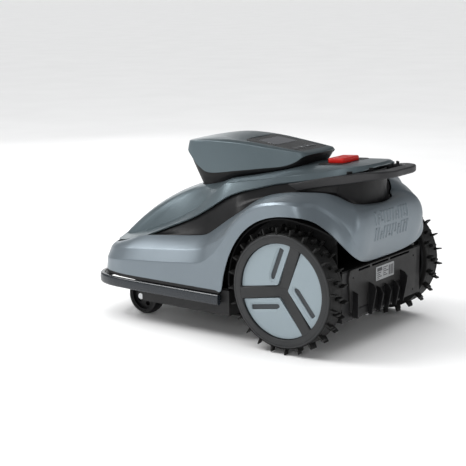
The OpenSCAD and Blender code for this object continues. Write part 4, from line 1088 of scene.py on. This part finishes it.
# ------------------------------------------------------------------ springs as wound wire
def coil(name, radius, wire, z0, z1, turns, mat4, body):
    verts, faces = [], []
    n, m = turns * 28, 10
    for k in range(n + 1):
        a = 2 * math.pi * turns * k / n
        c = np.array([radius * math.cos(a), radius * math.sin(a), z0 + (z1 - z0) * k / n])
        e = np.array([math.cos(a), math.sin(a), 0])
        for j in range(m):
            b = 2 * math.pi * j / m
            p = c + e * wire * math.cos(b) + np.array([0, 0, wire * math.sin(b)])
            verts.append(tuple(p * 1e-3))
    for k in range(n):
        for j in range(m):
            i = (j + 1) % m
            faces.append((k * m + j, (k + 1) * m + j, (k + 1) * m + i, k * m + i))
    faces.append(tuple(range(m)))
    faces.append(tuple(n * m + j for j in range(m - 1, -1, -1)))
    o = new_object(name, verts, faces)
    o.data.transform(mat4)
    give(o, "steel")
    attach(o, body)
    return o


c1 = coil("visual_stop_spring", 9, 0.6, -13.3, -1.5, 5, STOP, "mower_body")
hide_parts("stop_spring")
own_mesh(c1)
for i, x in enumerate((-25, 25)):
    mt = Matrix.Translation(to_m((x, -513.8, 84))) @ Matrix.Rotation(math.radians(-90), 4, "X")
    c2 = coil("visual_bumper_spring_" + "ab"[i], 3.2, 0.6, 0.8, 9.9, 4, mt, "mower_body")
    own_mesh(c2)
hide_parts("bumper_springs")

# ------------------------------------------------------------------ rating plate with generic bars
lab = plate("visual_rating_plate", [(x - 3, y) for x, y in stadium_or_rect(70, 28, 1.5)], [], 0, 1.3, 0.2, Matrix.Translation(to_m((0, 106.2, 138))) @ Matrix.Rotation(math.radians(90), 4, "X") @ Matrix.Translation((0, 0, -0.0001)), 1)
lab.data.transform(Matrix.Translation((0, 0.0, 0)))
place(lab, "mower_body", "label_plate", "label_plate", "rating_plate")
bars = []
LM = Matrix.Translation(to_m((-3, 106.32, 138))) @ Matrix.Rotation(math.radians(90), 4, "X") @ Matrix.Rotation(math.pi, 4, "Y")
bm = bmesh.new()
for (x0, x1, y0, y1) in [(-31, -12, 4, 11), (-31, -16, 0, 2), (-31, -20, -4, -2), (-31, -14, -8, -6), (-31, -22, -11.5, -10), (-8, 10, 8, 10), (-8, 4, 4, 6), (-8, 12, 0, 2), (-8, 2, -4, -2), (-8, 8, -8, -6), (14, 18, -10, 10), (20, 22, -10, 10), (24, 29, -10, 10), (30.5, 32, -10, 10)]:
    q = [bm.verts.new((x * 1e-3, y * 1e-3, 0.00012)) for x, y in ((x0, y0), (x1, y0), (x1, y1), (x0, y1))]
    r = [bm.verts.new((x * 1e-3, y * 1e-3, -0.00022)) for x, y in ((x0, y0), (x1, y0), (x1, y1), (x0, y1))]
    bm.faces.new(q)
    for k in range(4):
        bm.faces.new((r[k], r[(k + 1) % 4], q[(k + 1) % 4], q[k]))
me = bpy.data.meshes.new("visual_rating_bars")
bmesh.ops.recalc_face_normals(bm, faces=bm.faces)
bm.to_mesh(me)
bm.free()
me.transform(LM)
ink = bpy.data.objects.new("visual_rating_bars", me)
bpy.context.scene.collection.objects.link(ink)
place(ink, "mower_body", "label_plate", "label_ink")

# ------------------------------------------------------------------ rear panel with its slots and screw holes
slot_of_node = {s["node"]: s["material_slot"] for s in frame["record"]["subparts"]}
half = [(112, 68), (126, 84), (128, 108), (134, 150), (128, 164)]
po = [np.array(q, float) for q in half + [(-x, z) for x, z in half][::-1]]
po = fillet(po, {0: 3, 1: 5, 2: 5, 3: 4, 4: 4, 5: 4, 6: 4, 7: 5, 8: 5, 9: 3}, 5)
ph = [[(x0, 157.5), (x1, 157.5), (x1, 161.5), (x0, 161.5)] for x0, x1 in ((55.9, 97.8), (-16.1, 47.4), (-100.7, -22.4))]
ph.append([(-38.3, 123.7), (32.3, 123.7), (32.3, 152.3), (-38.3, 152.3)])
ph += [circle(x, z, 1.9, 32) for x in (-118, 118) for z in (76, 148)]
pan = plate("visual_rear_panel", po, ph, 0, 3.4, 0.45, Matrix.Translation(to_m((0, 106, 0))) @ Matrix.Rotation(math.radians(90), 4, "X"), 3)
place(pan, "mower_body", slot_of_node["rear_panel"], "panel_plastic", "rear_panel")

# ------------------------------------------------------------------ CAD nodes that stay, with their materials
slot_of = slot_of_node
special = {"wheel_liners": "liner_plastic", "chassis_lid": "liner_plastic"}
hidden = {"lower_shell", "mid_shell", "top_cover", "pod_shell", "pod_base", "display_panel", "screen_window", "key_power", "key_home", "key_mow", "key_ok",
          "camera_bezel", "camera_lenses", "stop_bezel", "stop_button", "stop_spring", "rear_handle", "front_bumper", "bumper_springs",
          "hub_left", "hub_right", "inserts_left", "inserts_right", "tyre_left", "tyre_right", "rating_plate", "rear_panel"}
soft_edge = {"chassis_tub": 0.8, "chassis_lid": 0.6, "rear_guard": 0.45, "battery_hatch": 0.5, "battery_pack": 0.8, "handle_clips": 0.4,
             "blade_1": 0.15, "blade_2": 0.15, "blade_3": 0.15, "deck_carriage": 0.5, "blade_disc": 0.4, "skid_plate": 0.4, "height_motor": 0.5, "main_board": 0.2,
             "caster_fork_left": 0.6, "caster_fork_right": 0.6, "wheel_motors": 0.6, "key_membrane": 0.3, "charging_contacts": 0.3}
for n, o in nodes.items():
    if n in hidden:
        continue
    give(o, special.get(n, slot_of[n]))
    if n in soft_edge:
        soften(o, soft_edge[n], 2, 35, weld=True)

# ------------------------------------------------------------------ floor, light, camera
fm = bpy.data.materials.new("floor")
fm.use_nodes = True
nt = fm.node_tree
b = nt.nodes["Principled BSDF"]
b.inputs["Roughness"].default_value = 0.65
b.inputs["Specular IOR Level"].default_value = 0.25
v = tex_coord(nt)
nt.links.new(ramp(nt, noise(nt, v, 3, 3), [(0.3, (0.80, 0.80, 0.80)), (0.7, (0.83, 0.83, 0.83))]), b.inputs["Base Color"])
bump(nt, b, noise(nt, v, 400, 2), 0.03, 0.0005)
verts, faces = [(0, 0, 0)], []
for k in range(96):
    a = 2 * math.pi * k / 96
    verts.append((70 * math.cos(a), 70 * math.sin(a), 0))
    faces.append((0, k + 1, (k + 1) % 96 + 1))
me = bpy.data.meshes.new("floor")
me.from_pydata(verts, [], faces)
floor = bpy.data.objects.new("floor", me)
bpy.context.scene.collection.objects.link(floor)
floor.data.materials.append(fm)

world = bpy.data.worlds.new("studio")
bpy.context.scene.world = world
world.use_nodes = True
wb = world.node_tree.nodes["Background"]
wnt = world.node_tree
wv = wnt.nodes.new("ShaderNodeTexCoord")
wx = wnt.nodes.new("ShaderNodeSeparateXYZ")
wnt.links.new(wv.outputs["Generated"], wx.inputs[0])
wr = wnt.nodes.new("ShaderNodeValToRGB")
wr.color_ramp.elements[0].position = 0.10
wr.color_ramp.elements[0].color = (0.80, 0.81, 0.82, 1)
wr.color_ramp.elements[1].position = 0.26
wr.color_ramp.elements[1].color = (0.225, 0.229, 0.233, 1)
wnt.links.new(wx.outputs["Z"], wr.inputs[0])
wnt.links.new(wr.outputs[0], wb.inputs["Color"])
wb.inputs["Strength"].default_value = 1.0


def area(name, loc, target, size, power, sy=None, color=(1, 1, 1)):
    l = bpy.data.lights.new(name, "AREA")
    l.shape = "RECTANGLE"
    l.size = size
    l.size_y = sy or size
    l.energy = power
    l.color = color
    o = bpy.data.objects.new(name, l)
    bpy.context.scene.collection.objects.link(o)
    o.location = loc
    d = Vector(target) - Vector(loc)
    o.rotation_euler = d.to_track_quat("-Z", "Y").to_euler()
    return o


area("key", (1.35, -1.75, 2.35), (0, -0.05, 0.2), 1.3, 60)
area("side", (2.6, 0.9, 0.9), (0, 0.1, 0.2), 1.2, 17)
area("tail", (-0.6, 2.6, 1.2), (0, 0.15, 0.2), 1.2, 9)
area("nose", (-1.6, -2.2, 1.3), (0, 0, 0.2), 1.4, 12)

# an even light that only the floor receives
sun = bpy.data.lights.new("floor_light", "SUN")
sun.energy = 2.35
sun.angle = math.radians(70)
sun_ob = bpy.data.objects.new("floor_light", sun)
bpy.context.scene.collection.objects.link(sun_ob)
sun_ob.location = (0, 0, 4)
only_floor = bpy.data.collections.new("floor_only")
only_floor.objects.link(floor)
sun_ob.light_linking.receiver_collection = only_floor

cam_data = bpy.data.cameras.new("camera")
cam_data.sensor_width = 36
cam_data.lens = 1257.57 * 36 / 466
cam_data.clip_end = 200
cam_ob = bpy.data.objects.new("camera", cam_data)
bpy.context.scene.collection.objects.link(cam_ob)
az, el, roll = 0.64657334, 0.20379403, -0.01381305
bz = Vector((math.cos(az) * math.cos(el), math.sin(az) * math.cos(el), math.sin(el)))
rx = Vector((0, 0, 1)).cross(bz).normalized()
uy = bz.cross(rx)
cr_, sr_ = math.cos(roll), math.sin(roll)
bx, by = rx * cr_ + uy * sr_, uy * cr_ - rx * sr_
cam_ob.matrix_world = Matrix(((bx.x, by.x, bz.x, 2.12743), (bx.y, by.y, bz.y, 1.52223), (bx.z, by.z, bz.z, 0.7239), (0, 0, 0, 1)))
bpy.context.scene.camera = cam_ob
bpy.context.scene.view_settings.view_transform = "Standard"
bpy.context.view_layer.update()
